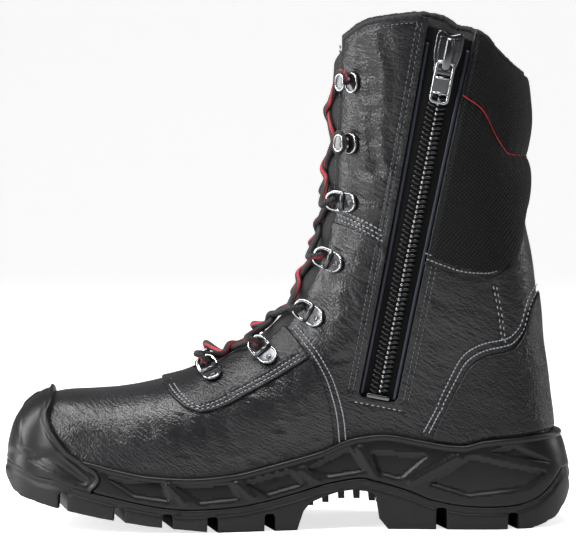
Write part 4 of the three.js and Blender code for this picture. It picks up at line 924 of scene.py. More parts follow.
# %% Quarter, from one facing around the heel to the other
slot_left, slot_right = slot_side(-1, 3, 95), slot_side(1, 3, 95)
seam_at = float(np.interp(153.5, slot_left[:, 1], np.linspace(3, 95, 40)))
rear_at = float(np.interp(145.5, slot_right[:, 1], np.linspace(3, 95, 40)))
slot_foot = np.concatenate([slot_side(-1, 3, 3.01, count=2)[:1], zip_place([0.4, 0.4], [-7.5, 7.5]),
                            slot_side(1, 3, 3.01, count=2)[:1]])
hidden_seam = [(x - 7, z) for x, z in VAMP_SEAM]
quarter_parts = []
for side in (-1, 1):
    facing = throat_line(side, u_vamp - 7, u_quarter)
    top = beyond_throat(laid(QUARTER_SEAM, side))
    middle_part = [laid([(208.6, 153.5), (216, 150.2), (228.6, 145.5)], side)]
    if side < 0:
        middle_part = [uv_of(*slot_side(-1, 3, seam_at)[::-1].T, side, True), laid(slot_foot, side),
                       uv_of(*slot_side(1, 3, rear_at).T, side, True)]
    quarter_parts.append([facing, top, *middle_part, laid(REAR_SEAM, side)])
inner_part, outer_part = quarter_parts
low_outer = [beyond_throat(laid(hidden_seam[1:], 1)), feather_line(1, 174, 300)]
low_inner = [feather_line(-1, 300, 174), beyond_throat(laid(hidden_seam[1:], -1))[::-1]]
quarter_outline = outline_of(*inner_part, *[part[::-1] for part in outer_part[::-1]], *low_outer, *low_inner)
quarter_rows = []
for side in (-1, 1):
    quarter_rows += [beside(beyond_throat(laid(QUARTER_SEAM, side)), side * d)[1:] for d in (2.0, 4.4, 6.8)]
    quarter_rows += [beside(laid(REAR_SEAM, side), side * d) for d in (2.0, 4.4)]
zip_rows = [uv_of(*slot_side(sign, 2, high, extra).T, -1, True)
            for sign, high in ((-1, seam_at), (1, rear_at)) for extra in (3.6, 6.2)]
quarter_rows += zip_rows + [laid(zip_place([-3.0] * 9, np.linspace(-14, 16, 9)), -1)]
quarter_rows += [beside(laid([(266.5, 134), (269.8, 116.7), (272.0, 100)], side), d)
                 for side in (-1, 1) for d in (-1.1, 1.1)]
quarter_folds = folds_on([
    ([(183, 150), (194, 146), (204, 148)], 0.34, 2.8), ([(176, 136), (187, 133), (198, 136)], 0.38, 2.6),
    ([(166, 122), (178, 120), (190, 124)], 0.34, 2.4), ([(175, 107), (185, 106), (192, 110)], 0.3, 2.4),
    ([(180, 92), (186, 93), (190, 98)], 0.28, 2.2), ([(232, 128), (244, 122), (254, 124)], 0.24, 3.0),
    ([(226, 108), (238, 105), (246, 108)], 0.2, 3.0),
], back=True)
quarter = panel("quarter", quarter_outline, -2.1, QUARTER_STEP, shaft_leather, back=True, inner=lining_cloth,
                relief=leather_relief(True, quarter_rows, quarter_folds), lines=grooves(quarter_rows), edge=0.5)
for line in quarter_rows:
    sew(line, True, QUARTER_STEP, "dark" if any(line is row for row in zip_rows) else "grey")

# %% Shaft leather, in front of the zip and around the back
collar_front = [point for point in COLLAR if point[0] < 232]
zip_top = float(np.interp(277.8, *[slot_side(-1, 150, 215)[:, 1], np.linspace(150, 215, 40)]))
inner_facing = throat_line(-1, u_quarter - 8, u_collar)
inner_top = laid(collar_front, -1)
inner_slot = uv_of(*slot_side(-1, seam_at - 8, zip_top)[::-1].T, -1, True)
inner_low = laid([(208.0, 146), (199, 151), (189.7, 156), (178, 160)], -1)
shaft_inner_outline = outline_of(inner_facing, beyond_throat(inner_top), inner_slot, beyond_throat(inner_low))
shaft_zip_rows = [uv_of(*slot_side(-1, seam_at - 2, zip_top - 1, extra).T, -1, True) for extra in (3.6, 6.2)]
facing_rows = {side: beside(throat_line(side, u_quarter + 1, u_collar - 2), side * 2.6) for side in (-1, 1)}
collar_row = beside(beyond_throat(inner_top), 2.8)[2:-2]
shaft_folds = folds_on([
    ([(196, 262), (201, 240), (200, 218), (203, 196)], 0.55, 4.2),
    ([(208, 268), (211, 246), (209, 222), (212, 200)], 0.32, 3.4),
    ([(190, 232), (198, 226), (205, 228)], 0.34, 2.4), ([(189, 199), (197, 194), (205, 197)], 0.34, 2.4),
    ([(186, 218), (195, 212), (203, 213)], 0.26, 2.0), ([(188, 184), (198, 180), (206, 183)], 0.3, 2.4),
    ([(187, 252), (196, 246), (204, 248)], 0.3, 2.4), ([(189, 170), (199, 167), (207, 170)], 0.26, 2.2),
    ([(218, 196), (215, 180), (212, 164)], 0.26, 2.6),
], back=True)
shaft_rows = shaft_zip_rows + [facing_rows[-1], collar_row]
shaft_inner = panel("shaft_inner", shaft_inner_outline, -2.0, 0.0, shaft_leather, back=True, inner=lining_cloth,
                    relief=leather_relief(True, shaft_rows, shaft_folds), lines=grooves(shaft_rows), edge=0.45)
for line in shaft_rows:
    sew(line, True, 0.0, "dark")

right_top = float(np.interp(271, *[slot_side(1, 150, 215)[:, 1], np.linspace(150, 215, 40)]))
collar_rear = [point for point in COLLAR if point[0] > 252]
rear_low = [(x, z - 7) for x, z in REAR_SEAM]
outer_low = [(x, z - 7) for x, z in QUARTER_SEAM] + [(216, 143.2)]
shaft_outer_outline = outline_of(
    uv_of(*slot_side(1, rear_at - 7, right_top).T, -1, True), laid(collar_rear, -1), laid(COLLAR, 1)[::-1],
    throat_line(1, u_quarter - 8, u_collar)[::-1], beyond_throat(laid(outer_low, 1)), laid(rear_low, 1),
    laid(rear_low, -1)[::-1])
outer_folds = [fold for fold in shaft_folds if fold[0][0, 1] > 0]
shaft_outer = panel("shaft_outer", shaft_outer_outline, -2.0, 0.0, shaft_leather, back=True, inner=lining_cloth,
                    relief=leather_relief(True, [facing_rows[1]], outer_folds), lines=grooves([facing_rows[1]]),
                    edge=0.45, spacing=1.8)
sew(facing_rows[1], True, 0.0, "dark")

# %% [markdown]
# Two more pieces of leather: the patch under the lowest lace loops, shaped like a U around the throat, and
# the stiffener that cups the heel. Both lie on top of the others and are sewn down along their edges.
# The tongue lies under the throat, thicker in its middle.

# %% Patch, heel stiffener and tongue
stay_side = {side: laid(STAY, side, back=False) for side in (-1, 1)}
stay_rear = {side: beyond_throat(laid(STAY_REAR, side, back=False), back=False) for side in (-1, 1)}
stay_end = float(stay_rear[-1][-1, 0])
stay_throat = {side: throat_line(side, THROAT_START, stay_end, back=False) for side in (-1, 1)}
stay_outline = outline_of(stay_side[-1], stay_rear[-1], stay_throat[-1][::-1], stay_throat[1],
                          stay_rear[1][::-1], stay_side[1][::-1])
stay_rows = [beside(stay_side[side], -side * inside_by)[2:-1] for side in (-1, 1) for inside_by in (2.0, 4.5)]
STAY_FACE, COUNTER_FACE = VAMP_STEP + GAP + 1.4, QUARTER_STEP + GAP + 1.6
lace_stay = panel("lace_patch", stay_outline, 2.0, STAY_FACE, patch_leather,
                  relief=leather_relief(False, stay_rows, swell=0.2), lines=grooves(stay_rows), edge=0.5)
for row in stay_rows:
    sew(row, False, STAY_FACE)

counter_side = {side: laid(COUNTER, side) for side in (-1, 1)}
counter_outline = outline_of(counter_side[-1], counter_side[1][::-1], feather_line(1, 234, 300, 0.9),
                             feather_line(-1, 300, 234, 0.9))
counter_rows = [beside(counter_side[side], side * inside_by)[1:-1] for inside_by in (2.2, 4.7) for side in (-1, 1)]
heel_counter = panel("heel_stiffener", counter_outline, 1.2, COUNTER_FACE, patch_leather, back=True,
                     relief=leather_relief(True, counter_rows, swell=0.25), lines=grooves(counter_rows), edge=0.6)
for row in counter_rows:
    sew(row, True, COUNTER_FACE)

tip = float(np.interp(265.6, RIDGE[-8:, 1], ridge_along[-8:]))
tongue_end = tip - 9 * (1 - np.sin(np.linspace(0.15, 1.5, 12)))
tongue_u = np.concatenate([np.linspace(THROAT_START - 8, tip - 9, 120), tongue_end])
tongue_half = 25.5 - 9 * (1 - np.cos(np.clip((tongue_u - tip + 9) / 9, 0, 1) * 1.4))
tongue_sides = [np.stack([tongue_u, side * tongue_half], axis=1) for side in (-1, 1)]
tongue_outline = outline_of(tongue_sides[0][::-1], tongue_sides[1])


def tongue_relief(flat):
    middle_share = 1 - smoothstep(8, 17, np.abs(flat[:, 1]))
    rib = 0.35 * np.cos(np.clip(np.abs(flat[:, 1]) / 9, 0, 1) * np.pi)
    lower = smoothstep(tip - 1, tip - 14, flat[:, 0])
    swell = 0.3 * soft_noise(form_point(*form_of(flat)) / 14.0)
    return (3.6 * middle_share + rib * middle_share) * lower - 2.5 * (1 - lower) + swell


tongue = panel("tongue_pad", tongue_outline, -6.6, -2.5, tongue_cloth, relief=tongue_relief, spacing=1.6, edge=1.0)

# %% [markdown]
# The sole's side is one wall around the outline of the foot. A place on it is named by how far it is
# around the outline, a, and how high it is, z. The cushioned layer above is a panel on that wall with
# sunk pockets and thin raised ribs, and the treaded layer below is cut up by grooves.

# %% Wall of the sole
wall_out, wall_heel = columns([
    [0.0, 0.0, 0.9], [0.05, 0.4, 1.4], [0.22, 1.3, 3.2], [0.48, 1.7, 5.2], [0.74, 1.5, 3.2], [1.05, 0.3, 0.0],
], 1, 1, 1)
SPLIT = np.array([
    [-0.016, 0.76], [0.004, 0.74], [0.033, 0.664], [0.063, 0.588], [0.097, 0.552], [0.134, 0.47],
    [0.175, 0.404], [0.229, 0.328], [0.276, 0.274], [0.322, 0.246], [0.371, 0.252], [0.42, 0.274],
    [0.469, 0.328], [0.517, 0.404], [0.566, 0.492], [0.624, 0.552], [0.65, 0.524], [0.683, 0.47],
    [0.716, 0.404], [0.75, 0.318], [0.783, 0.274], [0.816, 0.246], [0.865, 0.242], [0.904, 0.26],
    [0.938, 0.328], [0.964, 0.464], [0.984, 0.63], [0.994, 0.78], [1.02, 0.83]]) * [LENGTH, SOLE]
GROUND = np.array([
    [-0.016, 0.68], [0.002, 0.61], [0.007, 0.54], [0.018, 0.43], [0.03, 0.368], [0.05, 0.332],
    [0.081, 0.276], [0.113, 0.232], [0.177, 0.154], [0.258, 0.076], [0.339, 0.024], [0.374, 0.0],
    [0.516, 0.0], [0.527, 0.21], [0.539, 0.3], [0.563, 0.362], [0.589, 0.414], [0.614, 0.434],
    [0.639, 0.414], [0.655, 0.364], [0.66, 0.12], [0.676, 0.0], [0.929, 0.0], [0.954, 0.052],
    [0.97, 0.098], [0.982, 0.174], [0.993, 0.298], [0.998, 0.42], [1.002, 0.54], [1.02, 0.6]]) * [LENGTH, SOLE]
LIP_OUT = 4.3

toe_x = float(np.interp(feather(0.0), ridge_samples[:, 1], ridge_samples[:, 0]))
heel_x = float(back_at(feather(0.968 * LENGTH)))
turn = np.linspace(0, 2 * np.pi, 1601)
rim_x = toe_x + (heel_x - toe_x) * (1 - np.cos(turn)) / 2
rim_side = np.where(turn <= np.pi, -1.0, 1.0)
rim_half = half_width(rim_x, feather(rim_x))
rim_half[[0, 800, 1600]] = 0
rim = np.stack([rim_x, middle(rim_x, feather(rim_x)) + rim_side * rim_half], axis=1)
rim_walk = walk_along(rim)
rim_even = np.linspace(0, rim_walk[-1], 1441)
rim = np.stack([np.interp(rim_even, rim_walk, rim[:, i]) for i in (0, 1)], axis=1)
RIM = rim_walk[-1]
rim_run = unit(np.roll(rim[:-1], -6, axis=0) - np.roll(rim[:-1], 6, axis=0))
rim_out = np.stack([rim_run[:, 1], -rim_run[:, 0]], axis=1)
rim_out = np.concatenate([rim_out, rim_out[:1]])


def wall_points(flat, extra):
    """Points on the sole's wall, at (a, z), drawn out by extra."""
    a, z = flat[:, 0] % RIM, flat[:, 1]
    x, y = (np.interp(a, rim_even, rim[:, i]) for i in (0, 1))
    out_x, out_y = (np.interp(a, rim_even, rim_out[:, i]) for i in (0, 1))
    down = 1 - z / feather(x)
    out = LIP_OUT + wall_out(np.maximum(down, 0)) + np.asarray(extra)
    heel = wall_heel(np.maximum(down, 0)) * smoothstep(0.84 * LENGTH, 0.97 * LENGTH, x)
    return np.stack([x + out_x * out + heel, y + out_y * out, z], axis=1)


def on_wall(points, side, extra=0.0):
    """Places (a, z) of points of the side view."""
    points = np.asarray(points, float)
    low, high = (np.zeros(len(points)), np.full(len(points), RIM / 2)) if side < 0 else (
        np.full(len(points), RIM), np.full(len(points), RIM / 2))
    for _ in range(30):
        a = (low + high) / 2
        short = wall_points(np.stack([a, points[:, 1]], axis=1), extra)[:, 0] < points[:, 0]
        low, high = np.where(short, a, low), np.where(short, high, a)
    return np.stack([a, points[:, 1]], axis=1)


print("sole's rim", round(RIM, 1), "mm around")

# %% Cushioned layer, with pockets and ribs
POCKETS = [
    [[0.186, 0.59], [0.231, 0.404], [0.294, 0.35], [0.282, 0.546]],
    [[0.305, 0.514], [0.346, 0.328], [0.416, 0.362], [0.401, 0.536]],
    [[0.427, 0.528], [0.464, 0.398], [0.525, 0.498], [0.506, 0.65]],
    [[0.537, 0.67], [0.569, 0.578], [0.633, 0.64], [0.608, 0.886]],
    [[0.648, 0.84], [0.661, 0.614], [0.697, 0.552], [0.744, 0.8]],
    [[0.747, 0.508], [0.816, 0.378], [0.922, 0.45], [0.955, 0.606], [0.82, 0.8]],
    [[0.855, 0.844], [0.963, 0.71], [0.898, 0.906]],
]
RIBS = [
    [[0.284, 0.546], [0.319, 0.306], [0.326, 0.33], [0.295, 0.56]],
    [[0.403, 0.556], [0.436, 0.35], [0.444, 0.368], [0.414, 0.556]],
    [[0.516, 0.66], [0.547, 0.516], [0.556, 0.54], [0.529, 0.69]],
    [[0.618, 0.9], [0.653, 0.532], [0.662, 0.55], [0.633, 0.89]],
    [[0.708, 0.512], [0.792, 0.82], [0.802, 0.8], [0.722, 0.512]],
]
CAP_EDGE = np.array([[27.6, 70.6], [27.9, 69.0], [28.2, 66.0], [26.4, 60.1], [28.5, 54.0], [32.2, 48.6], [37.8, 42.5],
                     [44.3, 38.2], [48.4, 35.7], [52.7, 32.9], [54.6, 29.2], [53.0, 25.3], [50.5, 22.5]])


def sides_of(shapes):
    """Closed shapes of the side view on both sides of the wall."""
    found = []
    for shape in shapes:
        corners = np.array(shape) * [LENGTH, SOLE] if np.max(shape) < 2 else np.array(shape)
        for side in (-1, 1):
            found.append(on_wall(spaced(corners, 1.0, closed=True), side))
    return found


def rounded(shape, times=3):
    for _ in range(times):
        shape = (shape + np.roll(shape, 1, axis=0) + np.roll(shape, -1, axis=0)) / 3
    return shape


pocket_shapes = [rounded(shape, 1) for shape in sides_of(POCKETS)]
rib_shapes = [rounded(shape, 1) for shape in sides_of(RIBS)]


def ringed(shapes, steps):
    """Each shape's outline, moved in and out by steps, as edges for the mesh."""
    rings = [inset(wound(shape), step) for shape in shapes for step in steps]
    return [np.concatenate([ring, ring[:1]]) for ring in rings]


def sunk(flat, shapes, depth, slope=0.3):
    """Depth inside each shape, with sloping edges."""
    total = np.zeros(len(flat))
    for shape in shapes:
        low, high = shape.min(axis=0) - 2, shape.max(axis=0) + 2
        near = np.all((flat > low) & (flat < high), axis=1)
        if near.any():
            part = flat[near]
            edge_far = near_line(part, np.concatenate([shape, shape[:1]]))
            signed = np.where(inside(part, shape), edge_far, -edge_far)
            total[near] = np.maximum(total[near], smoothstep(-slope, slope, signed))
    return total * depth


split_line = SPLIT[SPLIT[:, 0] > 50] + [0, GAP]
low_edge = np.concatenate([[[50.8, np.interp(50.8, *SPLIT.T) + GAP]], split_line])
foot_edges = {}
for side in (-1, 1):
    cut = CAP_EDGE[7:] - [1.6, 0]
    foot_edges[side] = (on_wall(spaced(low_edge[:-2], 1.2, True), side), on_wall(spaced(cut, 1.2, True), side))
top_a = np.arange(foot_edges[-1][1][0, 0] - 1.5, foot_edges[1][1][0, 0] + 1.5, 1.3)
top_edge = np.stack([top_a, feather(np.interp(top_a, rim_even, rim[:, 0]))], axis=1)
middle_outline = outline_of(foot_edges[-1][0], foot_edges[1][0][::-1], foot_edges[1][1][::-1], top_edge[::-1],
                            foot_edges[-1][1], spacing=1.2)


def cushion_relief(flat):
    below = feather(np.interp(flat[:, 0] % RIM, rim_even, rim[:, 0])) - flat[:, 1]
    bead = 0.6 * smoothstep(2.6, 1.9, below) - 0.35 * np.exp(-((below - 3.4) / 0.6) ** 2)
    return sunk(flat, rib_shapes, 1.1, 0.3) - sunk(flat, pocket_shapes, 1.6) + bead


cushion = panel("sole_cushion", middle_outline, -3.4, -0.0, sole_rubber, place=wall_points, relief=cushion_relief,
                lines=ringed(pocket_shapes, (0.3, -0.3)) + ringed(rib_shapes, (0.3,))
                + [top_edge[2:-2] - [0, drop] for drop in (1.9, 2.6, 3.4)], spacing=1.4, edge=0.8)

# %% Treaded layer: the blocks' sides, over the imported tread
GROOVES = np.array([[0.09, 0.43], [0.187, 0.28], [0.27, 0.21], [0.35, 0.172], [0.455, 0.19],
                    [0.762, 0.24], [0.887, 0.18]]) * [LENGTH, SOLE]
GROOVE_WIDTH, GROOVE_SWEEP = 6.0, 9.0


def block_edge():
    """The bottom of the treaded layer from toe to heel in the side view, going up into each groove."""
    points = []
    keep = GROUND[(GROUND[:, 0] > 1.0) & (GROUND[:, 0] < 309)]
    cuts = []
    for x, roof in GROOVES:
        edge_y = abs(float(middle(x, 30.0)) - float(foot_half(x))) + 4
        start = x - GROOVE_SWEEP + GROOVE_SWEEP * edge_y / 40
        cuts.append((start, start + GROOVE_WIDTH, roof))
    for x in np.unique(np.concatenate([keep[:, 0], np.linspace(1, 309, 200), *[c[:2] for c in cuts]])):
        if any(c[0] < x < c[1] for c in cuts):
            continue
        z = float(np.interp(x, *GROUND.T))
        for c in cuts:
            if x == c[0]:
                points += [(x, z), (x + 0.3, c[2] - 1), (x + 1.3, c[2]), (c[1] - 1.3, c[2]), (c[1] - 0.3, c[2] - 1)]
                break
        else:
            nick = 1.1 if (x * 0.125) % 1 < 0.16 and z < 0.5 * SOLE else 0.0
            points.append((x, z + nick))
    return np.array(points)


bottom_edge = block_edge()
top_line = SPLIT[(SPLIT[:, 0] > 1) & (SPLIT[:, 0] < 308)]
tread_parts = {side: (on_wall(spaced(bottom_edge, 1.0), side), on_wall(spaced(top_line, 1.4, True), side))
               for side in (-1, 1)}
tread_outline = {side: outline_of(low, high[::-1], spacing=1.2) for side, (low, high) in tread_parts.items()}


def tread_relief(flat):
    split_z = np.interp(wall_points(flat, 0.0)[:, 0], *SPLIT.T)
    below = split_z - flat[:, 1]
    return 0.55 * smoothstep(3.6, 4.4, below) - 0.4 * np.exp(-((below - 3.1) / 0.5) ** 2)


treads = []
for side, label in ((-1, "inner"), (1, "outer")):
    treads.append(panel(f"tread_side_{label}", tread_outline[side], -2.5, 0.3, tread_rubber, place=wall_points,
                        relief=tread_relief, spacing=1.4, edge=0.4,
                        lines=[tread_parts[side][1][3:-3] - [0, drop] for drop in (3.1, 3.7, 4.4)]))

# %% [markdown]
# The toe cap is moulded rubber. It lies over the front of the vamp and runs down into the sole's wall, so
# its surface is one that turns from the form's skin into the wall around the height of the feather edge.

# %% Toe cap
rim_tree = kdtree.KDTree(len(rim) - 1)
for i, point in enumerate(rim[:-1]):
    rim_tree.insert((point[0], point[1], 0), i)
rim_tree.balance()


def cap_points(flat, lift):
    share, across = form_of(flat)
    base = form_point(share, across)
    off = base + form_normal(share, across) * np.asarray(lift)[:, None]
    near = np.array([rim_even[rim_tree.find((p[0], p[1], 0))[1]] for p in base])
    low = wall_points(np.stack([near, base[:, 2]], axis=1), np.asarray(lift) - 4.8)
    height = smoothstep(-2.5, 7.0, base[:, 2] - feather(base[:, 0]))[:, None]
    return low * (1 - height) + off * height


cap_side = {side: laid(CAP_EDGE, side, back=False, step=1.1) for side in (-1, 1)}
cap_low_x = np.linspace(50.5, 5.3, 46)
cap_low = {side: uv_of(cap_low_x, np.interp(cap_low_x - 3.0 * smoothstep(25, 5, cap_low_x), *SPLIT.T) + GAP, side)
           for side in (-1, 1)}
cap_outline = outline_of(cap_side[-1], cap_low[-1], cap_low[1][::-1], cap_side[1][::-1], spacing=1.1)
CAP_RECESS = spaced([(31.2, 42.5), (49.0, 28.6), (46.0, 25.6), (16.5, 38.6)], 0.9, closed=True)
cap_shapes = [rounded(uv_of(*CAP_RECESS.T, side), 2) for side in (-1, 1)]
cap_folds = {side: laid([(15.5, 71), (13.8, 62), (13.0, 54), (13.4, 46)], side, back=False) for side in (-1, 1)}
CHEVRON = [(13, 44.5), (30, 37.5), (47.5, 26.2), (51.0, 28.2), (44.5, 34.5), (37.5, 40.2)]
cap_chevrons = {side: laid(CHEVRON, side, back=False, smooth=False, step=1.0) for side in (-1, 1)}


def cap_relief(flat):
    height = np.zeros(len(flat))
    for side in (-1, 1):
        near = near_line(flat, cap_side[side])
        height += 0.75 * np.exp(-((near - 0.9) / 0.75) ** 2) - 0.6 * np.exp(-((near - 2.6) / 0.7) ** 2)
        height += 0.45 * np.exp(-(near_line(flat, cap_folds[side]) / 1.0) ** 2)
        height -= 0.5 * np.exp(-(near_line(flat, cap_chevrons[side]) / 0.6) ** 2)
    return height - sunk(flat, cap_shapes, 0.9, 0.3)


cap_lines = [beside(cap_side[side], -side * d)[1:-1] for side in (-1, 1) for d in (1.2, 1.9, 2.7, 3.5)]
toe_cap = panel("toe_cap_rubber", cap_outline, 2.2, 5.2, sole_rubber, place=cap_points, relief=cap_relief,
                lines=ringed(cap_shapes, (0.3, -0.3)) + cap_lines, spacing=1.1, edge=0.7)

# %% [markdown]
# The collar is two cushions of foam under cloth with a crease between them. It is a grid around the back
# of the shaft, fuller in the middle of each cushion and drawn in at its seams.

# %% Padded collar
PAD = [[0.0, 0.612, 0.717, 0.872], [0.15, 0.594, 0.719, 0.874], [0.3, 0.539, 0.722, 0.881],
       [0.45, 0.502, 0.726, 0.89], [0.6, 0.491, 0.756, 0.905], [0.8, 0.5, 0.813, 0.932],
       [1.0, 0.522, 0.839, 0.956]]
pad_low, pad_crease, pad_top = columns(PAD, 1, HEIGHT, HEIGHT, HEIGHT)
PAD_SEAT, PAD_EDGE, PAD_FULL, PAD_LIFT = 0.8, 1.8, 5.4, 2.4


def side_point(x, z, side):
    return np.stack([x, middle(x, z) + side * half_width(x, z), z], axis=-1)


def side_normal(x, z, side):
    slope_x = (side_point(x + 0.5, z, side) - side_point(x - 0.5, z, side))[..., 1]
    slope_z = (side_point(x, z + 0.5, side) - side_point(x, z - 0.5, side))[..., 1]
    normal = np.stack([-side * slope_x, side * np.ones_like(slope_x), -side * slope_z], axis=-1)
    return unit(normal)


def pad_place(around, up):
    """Side-view place of the pad: around from -1 to 1 over the back, up from 0 to 2 over both cushions."""
    reach = np.abs(around)
    low, crease, top = pad_low(reach) + PAD_LIFT, pad_crease(reach), pad_top(reach)
    z = np.where(up < 1, low + (crease - low) * up, crease + (top - crease) * (up - 1))
    zip_up_at = (z - ZIP_FOOT[1]) / zip_up[1]
    zip_x = zip_place(zip_up_at.ravel(), 0)[:, 0].reshape(z.shape) + (slot_half(zip_up_at) + 1.5) * zip_across[0]
    share = 1 - np.cos(reach * np.pi / 2)
    return back_at(z) + (zip_x - back_at(z)) * share, z


def pad_point(around, up, swell):
    """Points of the pad's face."""
    x, z = pad_place(around, up)
    side = np.where(around < 0, -1.0, 1.0)
    reach = np.abs(around)
    fullness = 1 - 0.75 * smoothstep(0.25, 1, reach)
    crown = np.abs(np.sin(np.pi * (up % 1.0))) ** 0.55 * fullness
    crown = np.where((up == 1) | (up == 0) | (up == 2), 0, crown)
    rim_share = smoothstep(1.0, 0.965, reach)
    thick = (PAD_EDGE + (PAD_FULL - PAD_EDGE) * crown) * rim_share + 1.2 * (1 - rim_share) + swell
    return raised_pad(x, z, side, reach, thick)


def raised_pad(x, z, side, reach, thick):
    normal = np.where((reach < 0.01)[..., None], [1.0, 0.0, 0.0], side_normal(x, z, side))
    return side_point(x, z, side) + normal * thick[..., None]


pad_cols = np.sin(np.linspace(-1, 1, 281) * np.pi / 2 * 0.9) / math.sin(np.pi / 2 * 0.9)
cushion_ups = (1 - np.cos(np.linspace(0, np.pi, 45))) / 2
pad_ups = np.concatenate([cushion_ups[:-1], 1 + cushion_ups])
grid_around, grid_up = np.meshgrid(pad_cols, pad_ups)
pad_x, pad_z = pad_place(grid_around, grid_up)
soft_at = np.stack([pad_x.ravel() / 17, grid_around.ravel() * 4, pad_z.ravel() / 13], axis=1)
soft = soft_noise(soft_at).reshape(pad_x.shape)
puckers = np.sin(grid_around * 62 + 2.2 * soft) * np.exp(-((np.abs(grid_up - 1)) / 0.11) ** 2)
pad_outer = pad_point(grid_around, grid_up, 0.32 * soft + 0.16 * puckers)
pad_inner = raised_pad(pad_x, pad_z, np.where(grid_around < 0, -1.0, 1.0), np.abs(grid_around),
                       np.full(pad_x.shape, PAD_SEAT))
walk_around = np.cumsum(np.concatenate([np.zeros((len(pad_ups), 1)),
                                        np.linalg.norm(np.diff(pad_outer, axis=1), axis=2)], axis=1), axis=1)
walk_around -= walk_around[:, 140:141]


def grid_piece(name, outer, inner, uv, material):
    """A closed piece from two grids, with a turned edge between them."""
    rows, cols = outer.shape[:2]
    number = np.arange(rows * cols).reshape(rows, cols)
    quads = np.stack([number[:-1, :-1], number[:-1, 1:], number[1:, 1:], number[1:, :-1]], axis=-1).reshape(-1, 4)
    loop = np.concatenate([number[0, :-1], number[:-1, -1], number[-1, :0:-1], number[:0:-1, 0]])
    after = np.roll(loop, -1)
    low = rows * cols
    faces = quads.tolist() + (quads[:, ::-1] + low).tolist()
    faces += np.stack([loop, loop + low, after + low, after], axis=1).tolist()
    points = np.concatenate([outer.reshape(-1, 3), inner.reshape(-1, 3)])
    return mesh_piece(name, points, faces, material, np.concatenate([uv, uv]))


collar_pad = grid_piece("padded_collar", pad_outer, pad_inner,
                        np.stack([walk_around.ravel(), pad_z.ravel()], axis=1), collar_cloth)
print("padded collar", pad_outer.shape)

# %% [markdown]
# Cords, wires and bindings are tubes that follow a path. One helper makes them, with a turn that stays
# steady along the path, so that a stripe on the lace doesn't spin around it.

# %% Tubes along paths
def tube(path, radius, sides=12, wide=1.0, closed=False, up=(0.3, 0.5, 0.8), turns=0.0):
    """Points, faces and lengths of a tube; wide stretches its section across."""
    path = np.asarray(path, float)
    n = len(path)
    radius = np.broadcast_to(np.asarray(radius, float), (n,))
    run = unit(np.roll(path, -1, axis=0) - np.roll(path, 1, axis=0) if closed else np.gradient(path, axis=0))
    across = np.array(up, float)
    walk = walk_along(path)
    points, uv = [], []
    angles = 2 * np.pi * np.arange(sides) / sides
    for i in range(n):
        across = across - across @ run[i] * run[i]
        across /= np.linalg.norm(across)
        other = np.cross(run[i], across)
        turned = angles + turns * walk[i]
        ring = wide * np.cos(angles)[:, None] * across + np.sin(angles)[:, None] * other
        points.append(path[i] + radius[i] * ring)
        uv.append(np.stack([np.full(sides, walk[i]), turned / (2 * np.pi)], axis=1))
    points, uv = np.concatenate(points), np.concatenate(uv)
    faces = []
    for i in range(n if closed else n - 1):
        j = (i + 1) % n
        faces += [[i * sides + k, i * sides + (k + 1) % sides, j * sides + (k + 1) % sides, j * sides + k]
                  for k in range(sides)]
    if not closed:
        faces.append(list(range(sides))[::-1])
        faces.append([(n - 1) * sides + k for k in range(sides)])
    return points, faces, uv


def joined(name, parts, materials):
    """One piece from parts of (points, faces, uv, material number)."""
    points, faces, uvs, marks, total = [], [], [], [], 0
    for part_points, part_faces, part_uv, mark in parts:
        points.append(part_points)
        uvs.append(part_uv)
        faces += [[i + total for i in face] for face in part_faces]
        marks += [mark] * len(part_faces)
        total += len(part_points)
    piece = mesh_piece(name, np.concatenate(points), faces, materials, np.concatenate(uvs))
    if len(piece.data.polygons) == len(marks):
        piece.data.polygons.foreach_set("material_index", np.array(marks, dtype=np.int32))
    return piece


def slab(outline, low, high, matrix, edge=0.4, spacing=2.5):
    """A plate with a rounded rim in a frame of its own."""
    def place(flat, lift):
        return local(matrix, np.concatenate([flat, np.broadcast_to(lift, (len(flat),))[:, None]], axis=1))

    return cut_piece(wound(spaced(outline, 0.9, closed=True)), low, high, place, edge=edge, spacing=spacing)[:3]


def round_plate(width, length, corner, x=0.0, y=0.0, steps=6):
    """Outline of a plate with round corners."""
    w, l = width / 2 - corner, length / 2 - corner
    points = []
    for cx, cy, start in ((w, l, 0), (-w, l, 90), (-w, -l, 180), (w, -l, 270)):
        for k in range(steps + 1):
            angle = math.radians(start + 90 * k / steps)
            points.append((x + cx + corner * math.cos(angle), y + cy + corner * math.sin(angle)))
    return np.array(points)


def local(matrix, points):
    points = np.atleast_2d(np.asarray(points, float))
    return (np.concatenate([points, np.ones((len(points), 1))], axis=1) @ matrix.T)[:, :3]


def wire(matrix, path, radius, mark, **options):
    """A tube in a frame of its own, with the number of its material."""
    return (*tube(local(matrix, path), radius, **options), mark)


def plate(matrix, outline, low, high, mark, **options):
    """A slab with the number of its material."""
    return (*slab(outline, low, high, matrix, **options), mark)


def at_height(outline, height):
    return np.concatenate([outline, np.full((len(outline), 1), float(height))], axis=1)


def surface_frame(x, z, side, direction, lift):
    """X across, Y along a direction of the side view, Z out of the surface."""
    direction = np.asarray(direction, float)
    normal = side_normal(np.float64(x), np.float64(z), side)
    along = (side_point(np.float64(x + direction[0]), np.float64(z + direction[1]), side)
             - side_point(np.float64(x - direction[0]), np.float64(z - direction[1]), side))
    along /= np.linalg.norm(along)
    across = np.cross(along, normal)
    across /= np.linalg.norm(across)
    matrix = np.eye(4)
    matrix[:3, 0], matrix[:3, 1], matrix[:3, 2] = across, along, normal
    matrix[:3, 3] = side_point(np.float64(x), np.float64(z), side) + normal * lift
    return matrix


